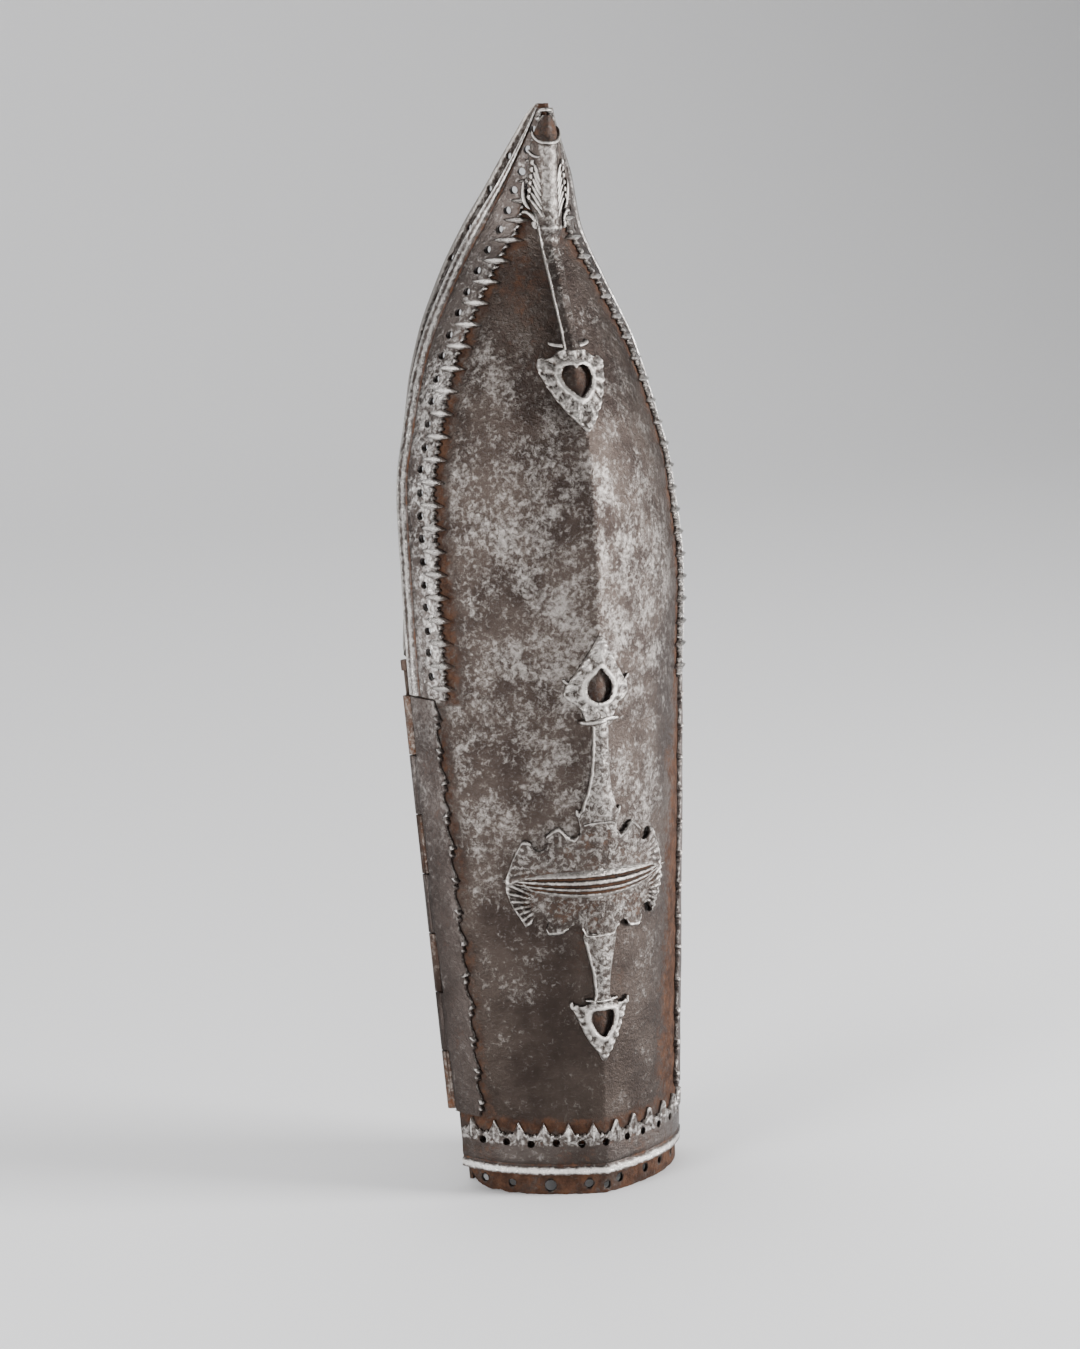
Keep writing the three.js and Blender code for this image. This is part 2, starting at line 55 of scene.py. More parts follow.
FLANK_PULL = 0.36
HINGE_NOTCH_TOP = 198.1
COLUMN = {
    "height": 0, "width": 1, "depth": 2, "lean": 3, "ridge_turn": 4, "rim_turn": 5, "flare": 6, "margin": 7,
}
SECTIONS = np.array([
    (0.000, 0.779, 0.594, 0.000, 14, 66.0, 14, 1.00),
    (0.133, 0.834, 0.649, 0.066, 15, 67.5, 14, 1.00),
    (0.313, 0.914, 0.761, 0.123, 16, 68.5, 14, 1.00),
    (0.453, 0.970, 0.886, 0.131, 17, 69.0, 14, 1.00),
    (0.573, 1.000, 0.939, 0.153, 18, 70.0, 40, 1.00),
    (0.653, 0.973, 1.000, 0.226, 18, 70.0, 40, 1.00),
    (0.713, 0.884, 0.961, 0.335, 18, 69.0, 34, 1.00),
    (0.773, 0.761, 0.814, 0.544, 19, 68.5, 24, 1.00),
    (0.833, 0.564, 0.625, 0.770, 20, 65.0, 17, 1.00),
    (0.883, 0.380, 0.422, 0.938, 22, 61.0, 14, 1.00),
    (0.933, 0.229, 0.182, 0.989, 24, 55.0, 14, 0.95),
    (0.988, 0.057, 0.059, 0.996, 26, 48.0, 14, 0.60),
    (1.000, 0.029, 0.027, 1.000, 27, 45.0, 14, 0.20),
])


def read_section(name, share):
    """Smooth monotone reading of one column of the section table."""
    heights, values = SECTIONS[:, COLUMN["height"]], SECTIONS[:, COLUMN[name]]
    steps = np.diff(values) / np.diff(heights)
    before, after = np.r_[steps[:1], steps], np.r_[steps, steps[-1:]]
    together = np.where(before * after > 0, before + after, 1)
    slopes = np.where(before * after > 0, 2 * before * after / together, 0)
    i = np.clip(np.searchsorted(heights, share, side="right") - 1, 0, len(heights) - 2)
    span = heights[i + 1] - heights[i]
    t = (share - heights[i]) / span
    start, end = (1 + 2 * t) * (1 - t) ** 2 * values[i], t * t * (3 - 2 * t) * values[i + 1]
    leave, arrive = t * (1 - t) ** 2 * span * slopes[i], t * t * (t - 1) * span * slopes[i + 1]
    return start + end + leave + arrive


# Rows up the sheet, columns over a flank, and steps along its curve
HEIGHT_STEPS = 800
ARC_STEPS = 96
CURVE_STEPS = 160
JUST_SHORT = 0.001
HEIGHTS = np.linspace(0, GUARD_LENGTH, HEIGHT_STEPS + 1)
ARC_SHARES = np.linspace(0, 1, ARC_STEPS + 1)
SHARES = HEIGHTS / GUARD_LENGTH
RIDGE_TURN = np.radians(read_section("ridge_turn", SHARES))
RIM_TURN = np.radians(read_section("rim_turn", SHARES))
RIDGE_Y = RIDGE_LEAN * read_section("lean", SHARES)
RIM_X = ELBOW_HALF_WIDTH * read_section("width", SHARES)
RIM_Y = RIDGE_Y + GUTTER_DEPTH * read_section("depth", SHARES)
OUT_TURN = RIM_TURN + np.radians(read_section("flare", SHARES))
MARGIN = MARGIN_WIDTH * read_section("margin", SHARES)
pull = FLANK_PULL * np.hypot(RIM_X, RIM_Y - RIDGE_Y)
t = np.linspace(0, 1, CURVE_STEPS + 1)[None, :]
weights = ((1 - t) ** 3, 3 * (1 - t) ** 2 * t, 3 * (1 - t) * t * t, t**3)
corners_x = (0 * RIM_X, pull * np.cos(RIDGE_TURN), RIM_X - pull * np.cos(RIM_TURN), RIM_X)
corners_y = (RIDGE_Y, RIDGE_Y + pull * np.sin(RIDGE_TURN), RIM_Y - pull * np.sin(RIM_TURN), RIM_Y)
curve_x = sum(w * c[:, None] for w, c in zip(weights, corners_x))
curve_y = sum(w * c[:, None] for w, c in zip(weights, corners_y))
walked = np.cumsum(np.hypot(np.diff(curve_x, prepend=0), np.diff(curve_y, prepend=curve_y[:, :1])), axis=1)
FLANK = walked[:, -1]
FLANK_X = np.array([np.interp(ARC_SHARES * row[-1], row, x) for row, x in zip(walked, curve_x)])
FLANK_Y = np.array([np.interp(ARC_SHARES * row[-1], row, y) for row, y in zip(walked, curve_y)])
TURN = np.arctan2(np.gradient(FLANK_Y, axis=1), np.gradient(FLANK_X, axis=1))
RIDGE_FOOT_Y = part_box("plate")[0].y * 1000

# Rounding over the ridge and the rims, and uneven beating that calms at the tip
RIDGE_ROUND = 1.0
RIM_ROUND = 1.2
BROAD_BEATING = 0.14
FINE_BEATING = 0.07
CALM_TIP = 40.0


def flank_at(height):
    return np.interp(height, HEIGHTS, FLANK)


def unit(value):
    """Holds a value between 0 and 1."""
    return np.clip(value, 0, 1)


def on_plate(reach, height, lift):
    """Points over the plate, in metres. Reach runs along the flank from the ridge, left negative,
    and lift stands off the outer face; both, and the height, are in millimetres."""
    reach, height, lift = np.broadcast_arrays(*(np.asarray(a, float) for a in (reach, height, lift)))
    row = np.clip(height / GUARD_LENGTH * HEIGHT_STEPS, 0, HEIGHT_STEPS - JUST_SHORT)
    i, up = row.astype(int), row % 1
    flank = flank_at(height)
    column = unit(np.abs(reach) / flank) * (ARC_STEPS - JUST_SHORT)
    j, along = column.astype(int), column % 1

    def blended(table):
        low = table[i, j] * (1 - along) + table[i, j + 1] * along
        high = table[i + 1, j] * (1 - along) + table[i + 1, j + 1] * along
        return low * (1 - up) + high * up

    x, y, turn = blended(FLANK_X), blended(FLANK_Y), blended(TURN)
    past = np.maximum(np.abs(reach) - flank, 0)
    out_turn = np.interp(height, HEIGHTS, OUT_TURN)
    x, y = x + past * np.cos(out_turn), y + past * np.sin(out_turn)
    turn = np.where(past > 0, turn + (out_turn - turn) * unit(past / RIM_ROUND), turn)
    crest = unit(np.abs(reach) / RIDGE_ROUND)
    ridge_turn = np.interp(height, HEIGHTS, RIDGE_TURN)
    stand = 1 + (1 / np.cos(ridge_turn) - 1) * (1 - crest)
    broad = np.sin(reach * 0.11 + height * 0.05 + 1.0) * np.sin(height * 0.083 - reach * 0.04)
    fine = np.sin(reach * 0.27 - height * 0.19) * np.sin(height * 0.23 + reach * 0.13 + 2)
    beaten = BROAD_BEATING * broad + FINE_BEATING * fine
    stood = (lift + beaten * unit((GUARD_LENGTH - height) / CALM_TIP)) * stand
    side = np.where(reach < 0, -1.0, 1.0)
    x = side * (x + np.sin(turn) * stood * crest)
    y = y - np.cos(turn * crest) * stood + RIDGE_FOOT_Y
    return np.stack([x, y, height], axis=-1) / 1000


def flat_slab(across, up):
    """A flat closed slab of small squares, one unit each way, to be laid on the plate."""
    slab = bmesh.new()
    bmesh.ops.create_grid(slab, x_segments=across, y_segments=up, size=0.5)
    top = bmesh.ops.extrude_face_region(slab, geom=slab.faces[:])
    raised = [g for g in top["geom"] if isinstance(g, bmesh.types.BMVert)]
    bmesh.ops.translate(slab, verts=raised, vec=(0, 0, 1))
    flat = np.array([v.co for v in slab.verts])
    return slab, flat[:, 0] + 0.5, flat[:, 1] + 0.5, flat[:, 2]


def lay(slab, places, worn, rust):
    """Moves a slab's corners to their places and keeps how worn and how rusty each one is."""
    worn_layer = slab.verts.layers.float.new("worn")
    rust_layer = slab.verts.layers.float.new("rust")
    worn, rust = np.broadcast_to(worn, len(places)), np.broadcast_to(rust, len(places))
    for vert, place, w, r in zip(slab.verts, places.tolist(), worn.tolist(), rust.tolist()):
        vert.co = place
        vert[worn_layer] = w
        vert[rust_layer] = r
    bmesh.ops.recalc_face_normals(slab, faces=slab.faces[:])
    for face in slab.faces:
        face.smooth = True
    return slab


SHARP_TURN = math.radians(50)


def steel_piece(name, form, material):
    """Makes an object of a finished bmesh."""
    mesh = bpy.data.meshes.new(name)
    form.to_mesh(mesh)
    form.free()
    mesh.set_sharp_from_angle(angle=SHARP_TURN)
    mesh.materials.append(material)
    made = bpy.data.objects.new(name, mesh)
    bpy.context.scene.collection.objects.link(made)
    return made


def cut_or_join(piece, other, operation):
    """Cuts another form out of a piece, or joins it on, and leaves one clean mesh."""
    change = piece.modifiers.new("change", "BOOLEAN")
    change.operation = operation
    change.solver = "MANIFOLD"
    change.object = other
    bpy.context.view_layer.update()
    done = bpy.data.meshes.new_from_object(piece.evaluated_get(bpy.context.evaluated_depsgraph_get()))
    piece.modifiers.remove(change)
    done.name = piece.name
    piece.data = done
    bpy.data.objects.remove(other)


def add_rod(form, low, high, radius, sides):
    """Adds a round rod between two points to a form; its radius is in millimetres."""
    way = Vector(high - low)
    turn = way.to_track_quat("Z", "Y").to_matrix().to_4x4()
    bmesh.ops.create_cone(
        form, cap_ends=True, segments=sides, radius1=radius / 1000, radius2=radius / 1000,
        depth=way.length, matrix=Matrix.Translation(Vector(low + high) / 2) @ turn,
    )


HOLE_SIDES = 16
DRILL_BELOW = -5
DRILL_ABOVE = 6


def drill(piece, holes):
    """Cuts round holes square through the sheet. Each hole is a reach, a height and a radius."""
    bits = bmesh.new()
    for reach, height, radius in holes:
        deep, high = on_plate(reach, height, DRILL_BELOW), on_plate(reach, height, DRILL_ABOVE)
        add_rod(bits, deep, high, radius, HOLE_SIDES)
    cut_or_join(piece, steel_piece("bits", bits, piece.data.materials[0]), "DIFFERENCE")


def uneven(k, spread):
    """A small fixed unevenness from -spread to spread, different for each number k."""
    return spread * math.sin(k * 12.9898 + 4.1) * math.cos(k * 78.233)


def bell(value, middle, spread):
    """1 at the middle of a spot or line, and fading to nothing on both sides."""
    return np.exp(-(((value - middle) / spread) ** 2))


def read_rows(rows, value, column=1):
    """Straight reading of a table's column between the values in its first one."""
    rows = np.array(rows)
    return np.interp(value, rows[:, 0], rows[:, column])


# Near black for the painted shade at the foot of the guard
PAINTED_FOOT_SHADE = (0.020, 0.015, 0.012, 1)


def patina(name, dark, light, bright, rust_dark, rust_light, gloss, mottle):
    """Old steel: brown-grey patina with worn silvery mottling, rust in the low places and bright edges, and
    painted shade darkening it towards the foot.
    """
    made = bpy.data.materials.new(name)
    made.use_nodes = True
    tree = made.node_tree
    tree.nodes.clear()

    def node(kind, **sockets):
        new = tree.nodes.new("ShaderNode" + kind)
        for socket, value in sockets.items():
            plug(new, socket, value)
        return new

    def plug(new, socket, value):
        key = int(socket[1:]) if socket[0] == "_" else socket.replace("_", " ")
        if isinstance(value, bpy.types.NodeSocket):
            tree.links.new(value, new.inputs[key])
        else:
            new.inputs[key].default_value = value

    def noise(scale, detail, roughness, stretch=(1, 1, 1), turn=(0, 0, 0), warp=0.0):
        placed = node("Mapping", Vector=where, Rotation=turn, Scale=stretch).outputs[0]
        spread = node(
            "TexNoise", Vector=placed, Scale=scale, Detail=detail, Roughness=roughness, Distortion=warp,
        )
        return spread.outputs[0]

    def ramp(value, low, high, to_low=0.0, to_high=1.0):
        made_ramp = node("MapRange", Value=value, From_Min=low, From_Max=high, To_Min=to_low, To_Max=to_high)
        made_ramp.interpolation_type = "SMOOTHSTEP"
        return made_ramp.outputs[0]

    def total(a, b):
        return node("Math", _0=a, _1=b).outputs[0]

    def maths(operation, a, b):
        new = node("Math", _0=a, _1=b)
        new.operation = operation
        new.use_clamp = operation in ("ADD", "SUBTRACT")
        return new.outputs[0]

    def mixed(share, a, b):
        new = node("Mix")
        new.data_type = "RGBA"
        for socket, value in ((0, share), (6, a), (7, b)):
            plug(new, "_%d" % socket, value)
        return new.outputs[2]

    where = node("TexCoord").outputs["Object"]
    worn = node("Attribute")
    worn.attribute_name = "worn"
    rusty = node("Attribute")
    rusty.attribute_name = "rust"

    clouds = noise(24, 3, 0.55)
    blotches = noise(95, 6, 0.7)
    curls = noise(540, 6, 0.66, warp=0.5)
    specks = noise(1000, 4, 0.6, warp=0.3)
    rubbed = noise(300, 4, 0.6, stretch=(1.2, 1.2, 7), turn=(0.3, 0.5, 0))
    up = node("SeparateXYZ", _0=where).outputs[2]

    # The silvery mottling gathers in patches, and thins out towards the foot and the tip
    gather = total(ramp(clouds, 0.35, 0.65, 0.0, 0.08), ramp(blotches, 0.35, 0.68, 0.0, 0.16))
    gather = total(gather, ramp(up, 0.04, 0.17, -0.13, 0.0))
    gather = total(gather, ramp(up, 0.27, 0.36, 0.0, -0.07))
    silver = maths("MULTIPLY", ramp(total(curls, gather), 0.55, 0.88), mottle)
    flecks = ramp(total(specks, gather), 0.60, 0.84)
    silver = maths("ADD", silver, maths("MULTIPLY", flecks, 0.28 * mottle))
    silver = maths("ADD", silver, maths("MULTIPLY", ramp(rubbed, 0.58, 0.78), 0.12))
    silver = maths("MULTIPLY", silver, ramp(rusty.outputs["Fac"], 0.05, 0.40, 1.0, 0.15))
    body = mixed(ramp(noise(45, 5, 0.65), 0.35, 0.65), dark, light)
    body = mixed(silver, body, bright)
    # Painted shade: below about 170 mm the colour is mixed up to a third of the way to near black, darkest at
    # the foot, where the light falls off
    body = mixed(ramp(up, 0.02, 0.17, 0.35, 0.0), body, PAINTED_FOOT_SHADE)

    # Rust eats in unevenly, and what is worn bright stays free of it
    eaten = maths("MULTIPLY", rusty.outputs["Fac"], 1.5)
    eaten = maths("SUBTRACT", eaten, ramp(blotches, 0.35, 0.65, 0.0, 0.5))
    eaten = maths("SUBTRACT", eaten, ramp(curls, 0.35, 0.65, 0.0, 0.35))
    eaten = ramp(eaten, 0.0, 0.7)
    rust = mixed(ramp(noise(230, 7, 0.7), 0.35, 0.7), rust_dark, rust_light)
    patchy = total(worn.outputs["Fac"], ramp(curls, 0.34, 0.66, -0.22, 0.22))
    polished = ramp(patchy, 0.12, 0.95)
    colour = mixed(maths("MULTIPLY", eaten, 0.9), body, rust)
    colour = mixed(polished, colour, bright)

    rough = maths("ADD", ramp(silver, 0, 1, gloss + 0.06, gloss - 0.08), ramp(specks, 0.3, 0.7, -0.04, 0.05))
    rough = maths("ADD", rough, maths("MULTIPLY", eaten, 0.38))
    rough = maths("SUBTRACT", rough, maths("MULTIPLY", polished, 0.10))
    dull = maths("SUBTRACT", eaten, polished)
    pits = total(maths("MULTIPLY", curls, 0.4), maths("MULTIPLY", noise(260, 5, 0.65), 0.5))
    pits = total(pits, maths("MULTIPLY", specks, 0.45))
    bump = node("Bump", Strength=1.0, Distance=0.0007, Height=pits)
    shader = node(
        "BsdfPrincipled", Base_Color=colour, Roughness=rough, Normal=bump.outputs[0],
        Metallic=ramp(dull, 0, 1, 0.95, 0.35), Specular_IOR_Level=ramp(dull, 0, 1, 0.5, 0.2),
    )
    tree.links.new(shader.outputs[0], node("OutputMaterial").inputs[0])
    return made


plate_steel = patina(
    "plate_steel", (0.029, 0.021, 0.018, 1), (0.060, 0.046, 0.039, 1), (0.40, 0.372, 0.347, 1),
    (0.034, 0.016, 0.010, 1), (0.104, 0.048, 0.026, 1), 0.39, 0.54,
)

# Each margin takes this share of the way across the sheet, and beside the hinge it is cut away
MARGIN_SHARE = 0.08
HINGE_MARGIN = 0.3
MARGIN_FOOT = 200.0

# Foot of the side borders, top of the wrist border, its flange, and top of the ragged foot
STRIP_CHANGE = 184.0
WRIST_STRIP_TOP = 27.0
FLANGE_LINE = 9.5
RAGGED_FOOT = 12.0

# How high the broken left corner of the foot stands, from the outer edge inwards
BROKEN_CORNER = (
    (-80, 8.5), (-55, 8.5), (-52.5, 6.5), (-50.5, 3.0), (-48, 1.2), (-44, 0.4), (-40, 0.9), (-38, 0),
)
OPENING_HEIGHTS = (302, 191, 66)
slab, u, v, w = flat_slab(150, 300)
side = np.where(u < 0.5, -1.0, 1.0)
out = np.abs(u - 0.5) * 2
on_flank = unit(out / (1 - 2 * MARGIN_SHARE))
on_margin = unit((out - 1 + 2 * MARGIN_SHARE) / (2 * MARGIN_SHARE))
height = v * GUARD_LENGTH
flank = flank_at(height)
margin = np.interp(height, HEIGHTS, MARGIN)
hinge_side = (side < 0) & (height < HINGE_NOTCH_TOP)
margin = np.where(hinge_side, HINGE_MARGIN, margin)
reach = side * (on_flank**0.94 * flank + on_margin * margin)
nicks = 0.35 * (1 + np.sin(reach * 0.9)) * (0.5 + 0.5 * np.sin(reach * 0.37 + 1))
nicks = nicks + 0.3 * np.sin(reach * 2.3) ** 2
low_edge = nicks * 0.5 + read_rows(BROKEN_CORNER, reach)
ragged = low_edge + height * (RAGGED_FOOT - low_edge) / RAGGED_FOOT
height = np.where(height < RAGGED_FOOT, ragged, height)
lip = unit((on_margin - 0.66) / 0.12) * (height > MARGIN_FOOT)
lift = np.where(w > 0.5, 0.35 * lip, -PLATE_THICKNESS)
inward = flank - np.abs(reach)
beside_border = height > STRIP_CHANGE
strip_edge = np.where(beside_border, np.minimum(18, 0.8 * flank), np.where(side < 0, 12, 18))
beside_strip = bell(inward, strip_edge, 4.8) * (height > WRIST_STRIP_TOP)
beside_strip = np.where(beside_border, 0.75, 0.5) * beside_strip
above_wrist = bell(height, WRIST_STRIP_TOP - 1, 4.0) * (inward > 0)
below_flange = unit(FLANGE_LINE - height)
flat_side = (side > 0) * bell(inward, 14, 15) * np.clip((230 - height) / 80, 0.65, 1)
beside_mount = bell(np.abs(reach), 7, 6) * (bell(height, 300, 16) + 0.7 * bell(height, 95, 45))
inside = (w < 0.5) * 0.55
behind_openings = np.max([bell(reach, 0, 5.5) * bell(height, z, 6.5) for z in OPENING_HEIGHTS], axis=0)
margin_rust = (inward < -0.3) * 0.12
brown_top = 0.60 * unit((height - 285) / 60) * unit(1 - np.abs(reach + 14) / 26)
brown_top = brown_top * (inward > 0)
rust = np.max([
    beside_strip, 0.7 * above_wrist, 0.7 * below_flange, 0.85 * flat_side, 0.45 * beside_mount, inside,
    margin_rust, brown_top, 0.5 * behind_openings,
], axis=0)
worn = np.maximum(lip, 0.3 * (on_margin > 0) * (height > MARGIN_FOOT)) * (w > 0.5)
plate = steel_piece("gutter_plate", lay(slab, on_plate(reach, height, lift), worn, rust), plate_steel)

MARGIN_HOLE = 1.25
MARGIN_PITCH = 13.0
MARGIN_HOLES_FOOT = 212
MARGIN_HOLES_TOP = 388
margin_holes = []
for k, hole_height in enumerate(np.arange(MARGIN_HOLES_FOOT, MARGIN_HOLES_TOP, MARGIN_PITCH)):
    for side_way in (-1, 1):
        out_from_rim = float(np.interp(hole_height, HEIGHTS, MARGIN)) * 0.5
        hole_reach = side_way * (float(flank_at(hole_height)) + out_from_rim)
        margin_holes.append((hole_reach, hole_height + uneven(k + side_way, 1.0), MARGIN_HOLE))
FOOT_HOLES = (
    (-46.5, 4.6, 1.5), (-35.5, 3.9, 1.4), (-21.0, 3.4, 2.2), (-6.5, 3.9, 1.7), (0.6, 3.0, 1.5),
    (6.6, 4.4, 1.7), (20.5, 4.7, 1.6), (30.0, 5.0, 1.3), (41.0, 5.2, 1.4), (51.0, 5.0, 1.3),
)
drill(plate, margin_holes + list(FOOT_HOLES))
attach(plate, "outer_guard")
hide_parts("plate")

# Side borders: two strips of bright steel laid along the rims from the elbow tip down to the
# straps. Each one is wrought with a standing rim, a groove, a row of pierced holes and long
# thorns between pairs of small beaded cusps, and is held on by the rim.
BORDER_FOOT = 185.3
BORDER_TOP = 398.4
BORDER_PITCH = 8.3
SEAT = 0.3
EDGE_SEAT = 0.06
TOOTH_STEPS = 26

# Distances from the rim: bottom between the teeth, tip of a thorn, full width and line of holes
VALLEY = 16.6
THORN_TIP = 20.2
FULL_WIDTH = 20.8
HOLE_LINE = 10.6
BORDER_HOLE = 1.45

# Where a cusp stands beside its thorn, as a share of a tooth
CUSP_PLACE = 0.32


def walk_rim(foot, top, pitch):
    """Heights and slants at even steps along the rim, and how many whole teeth fit on it."""
    height = np.linspace(foot, top, 1500)
    rim = np.stack([np.interp(height, HEIGHTS, RIM_X), np.interp(height, HEIGHTS, RIM_Y), height])
    run = np.concatenate([[0], np.cumsum(np.linalg.norm(np.diff(rim, axis=1), axis=0))])
    slant = np.gradient(run, height)
    return run / run[-1], height, slant, round(run[-1] / pitch)


def crowded(share, count, pinch):
    """Moves evenly spread shares closer together round the middle of each tooth."""
    tooth = share * count
    whole = np.minimum(np.floor(tooth), count - 1)
    part = tooth - whole
    return (whole + part + pinch * np.sin(2 * np.pi * part) / (2 * np.pi)) / count


def thorn_edge(phase, tip):
    """Distance from the rim to the border's inner edge, with a thorn at 0 and cusps at each side."""
    near = np.abs(phase)
    thorn = unit(1 - near / 0.18) ** 0.95
    cusp = 0.75 * np.sqrt(unit(1 - ((near - CUSP_PLACE) / 0.075) ** 2))
    between = np.where(near < CUSP_PLACE, (near - 0.13) / 0.13, (near - 0.38) / 0.12)
    scallop = 0.7 * np.sin(np.pi * unit(between))
    return VALLEY + cusp - scallop + (tip - VALLEY + 0.3) * thorn


RIM_SHARE = 0.45


def past_rim(share, shares, places, edge):
    """Distances from the rim: close together over the raised part, then even up to the cut edge."""
    last = places[-1]
    beyond = last + (edge - last) * (share - RIM_SHARE) / (1 - RIM_SHARE)
    return np.where(share > RIM_SHARE, beyond, np.interp(share, shares, places))


def squeezed(flank, slant):
    """How far a border is drawn in where the flank below the tip is too narrow for it."""
    return np.minimum(1, 0.8 * flank / (FULL_WIDTH * slant))


RIM_PROFILE = (
    (-0.2, 2.5), (0.1, 3.2), (0.5, 3.5), (1.35, 2.9), (2.1, 3.45), (2.5, 3.4), (2.9, 2.4), (3.2, 1.3),
    (3.7, 0.8), (4.3, 0.8), (4.9, 1.45), (6.0, 1.6), (60.0, 1.6),
)
RIM_WEAR = (
    (-0.2, 0.7), (0.1, 0.85), (0.6, 0.5), (1.2, 0.1), (1.6, 0.1), (2.1, 0.5), (2.6, 0.85), (3.0, 0.6),
    (3.4, 0.1),
)


def toothed_border(name, side, material):
    """One side border; side is -1 on the left and 1 on the right."""
    shares, heights, slants, count = walk_rim(BORDER_FOOT, BORDER_TOP, BORDER_PITCH)
    slab, u, v, w = flat_slab(40, count * TOOTH_STEPS)
    along = crowded(v, count, 0.6)
    phase = (along * count) % 1 - 0.5
    tooth = np.floor(along * count)
    longer = 0.5 * np.sin(tooth * 7.3 + side) + 0.3 * np.sin(tooth * 2.9)
    tip = THORN_TIP + longer * 0.5
    edge = thorn_edge(phase, tip)
    inward = past_rim(u, (0, 0.075, 0.15, 0.225, 0.3, RIM_SHARE), (-0.2, 0.4, 1.9, 2.9, 3.8, 5.5), edge)
    height = np.interp(along, shares, heights)
    slant = np.interp(along, shares, slants)
    fit = squeezed(flank_at(height), slant)
    front = read_rows(RIM_PROFILE, inward)
    near = np.abs(phase) * BORDER_PITCH
    spindle = 0.2 + 1.35 * unit((inward - 10.8) / 5.4) ** 0.7
    spindle = spindle * np.where(inward > VALLEY, unit((tip - inward) / (tip - VALLEY)), 1)
    crest = unit(1 - near / np.maximum(spindle, 0.05)) * unit((inward - 11) / 1.5)
    beside = (np.abs(phase) - CUSP_PLACE) / 0.085
    bead = unit(1 - beside**2 - ((inward - VALLEY + 0.1) / 0.85) ** 2)
    to_edge = edge - inward
    front = np.minimum(front, 1.0 + 0.9 * np.sqrt(unit(to_edge)))
    front = front + 1.6 * crest + 0.95 * np.sqrt(bead)
    lift = np.where(w > 0.5, front, np.where(to_edge < 1, EDGE_SEAT, SEAT))
    reach = side * (flank_at(height) - inward * slant * fit)
    rim_worn = read_rows(RIM_WEAR, inward) * (inward < 3.4)
    lip = unit(1 - to_edge / 0.7)
    field = 0.38 * unit((inward - 7) / 5)
    worn = np.max([rim_worn, 1.5 * crest, bead, 0.55 * lip, field], axis=0)
    worn = np.where((inward > 3.3) & (inward < 4.8), 0.0, worn) * (w > 0.5)
    worn = worn * np.where((inward > 4) & (crest + bead + lip < 0.3), np.clip((350 - height) / 50, 0.2, 1), 1)
    hollow = bell(inward, 4.0, 0.7)
    # Rust in the flat towards the roots of the thorns and cusps, kept off their crests, beads and edges; part
    # of this darkening is painted shade that outlines the teeth
    low = unit((inward - 13.5) / 4) * (1 - unit(crest * 2 + bead + lip)) * 0.7
    rim_groove = 0.35 * bell(inward, 1.4, 0.35)
    rust = np.max([0.6 * hollow, low, rim_groove], axis=0) + 0.35 * (w < 0.5)
    piece = steel_piece(name + "_strip", lay(slab, on_plate(reach, height, lift), worn, rust), material)
    holes = []
    for k in range(1, count):
        hole_height = float(np.interp(k / count, shares, heights))
        hole_slant = float(np.interp(k / count, shares, slants))
        rim = float(flank_at(hole_height))
        hole = side * (rim - HOLE_LINE * hole_slant * squeezed(rim, hole_slant))
        holes.append((hole + uneven(k, 0.25), hole_height + uneven(k + 7, 0.3), BORDER_HOLE))
    drill(piece, holes)
    drill(plate, holes)
    return piece


border_steel = patina(
    "border_steel", (0.046, 0.036, 0.032, 1), (0.100, 0.083, 0.075, 1), (0.68, 0.65, 0.62, 1),
    (0.045, 0.020, 0.012, 1), (0.150, 0.066, 0.032, 1), 0.33, 0.6,
)
for name, side in (("left_border", -1), ("right_border", 1)):
    border = toothed_border(name, side, border_steel)
    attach(border, "outer_guard")
    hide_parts(name)

# Wrist border: a strip round the wrist end, worked like the side borders but with short wide
# thorns, and with its foot turned out into a rounded flange above the bare pierced margin.
WRIST_FOOT = 8.0
WRIST_PITCH = 9.2
WRIST_TEETH = 12
WRIST_VALLEY = 14.9
WRIST_THORN = 4.7
WRIST_CUSP = 0.34
WRIST_HOLE_LINE = 11.9
WRIST_HOLE = 1.4
slab, u, v, w = flat_slab(WRIST_TEETH * TOOTH_STEPS, 40)
along = crowded(u, WRIST_TEETH, 0.5)
phase = (along * WRIST_TEETH) % 1 - 0.5
near = np.abs(phase)
thorn = unit(1 - near / 0.30)
cusp = 0.7 * np.sqrt(unit(1 - ((near - WRIST_CUSP) / 0.06) ** 2))
between = np.where(near < WRIST_CUSP, (near - 0.22) / 0.08, (near - 0.4) / 0.1)
scallop = 0.5 * np.sin(np.pi * unit(between))
edge = WRIST_VALLEY + cusp - scallop + WRIST_THORN * thorn**1.35
up = past_rim(v, (0, 0.08, 0.16, 0.24, 0.32, RIM_SHARE), (0, 0.5, 1.8, 3.0, 3.9, 5.5), edge)
FLANGE_PROFILE = (
    (0.0, 2.4), (0.3, 3.2), (0.9, 3.6), (1.7, 3.55), (2.4, 3.0), (3.0, 1.6), (3.6, 1.1), (4.4, 1.45),
    (5.5, 1.6), (60, 1.6),
)
front = read_rows(FLANGE_PROFILE, up)
to_edge = edge - up
front = np.minimum(front, 1.0 + 0.9 * np.sqrt(unit(to_edge)))
narrowing = unit((WRIST_VALLEY + WRIST_THORN - up) / WRIST_THORN)
wide = 0.25 + 1.35 * unit((up - 11.5) / 3.5) * np.where(up > WRIST_VALLEY, narrowing, 1)
crest = unit(1 - near * WRIST_PITCH / wide) * unit((up - 11.5) / 1.5)
bead = unit(1 - ((near - WRIST_CUSP) / 0.075) ** 2 - ((up - WRIST_VALLEY) / 0.8) ** 2)
front = front + 0.6 * crest + 0.55 * np.sqrt(bead)
reach = (along - 0.5) * WRIST_TEETH * WRIST_PITCH
lip = unit(1 - to_edge / 0.8)
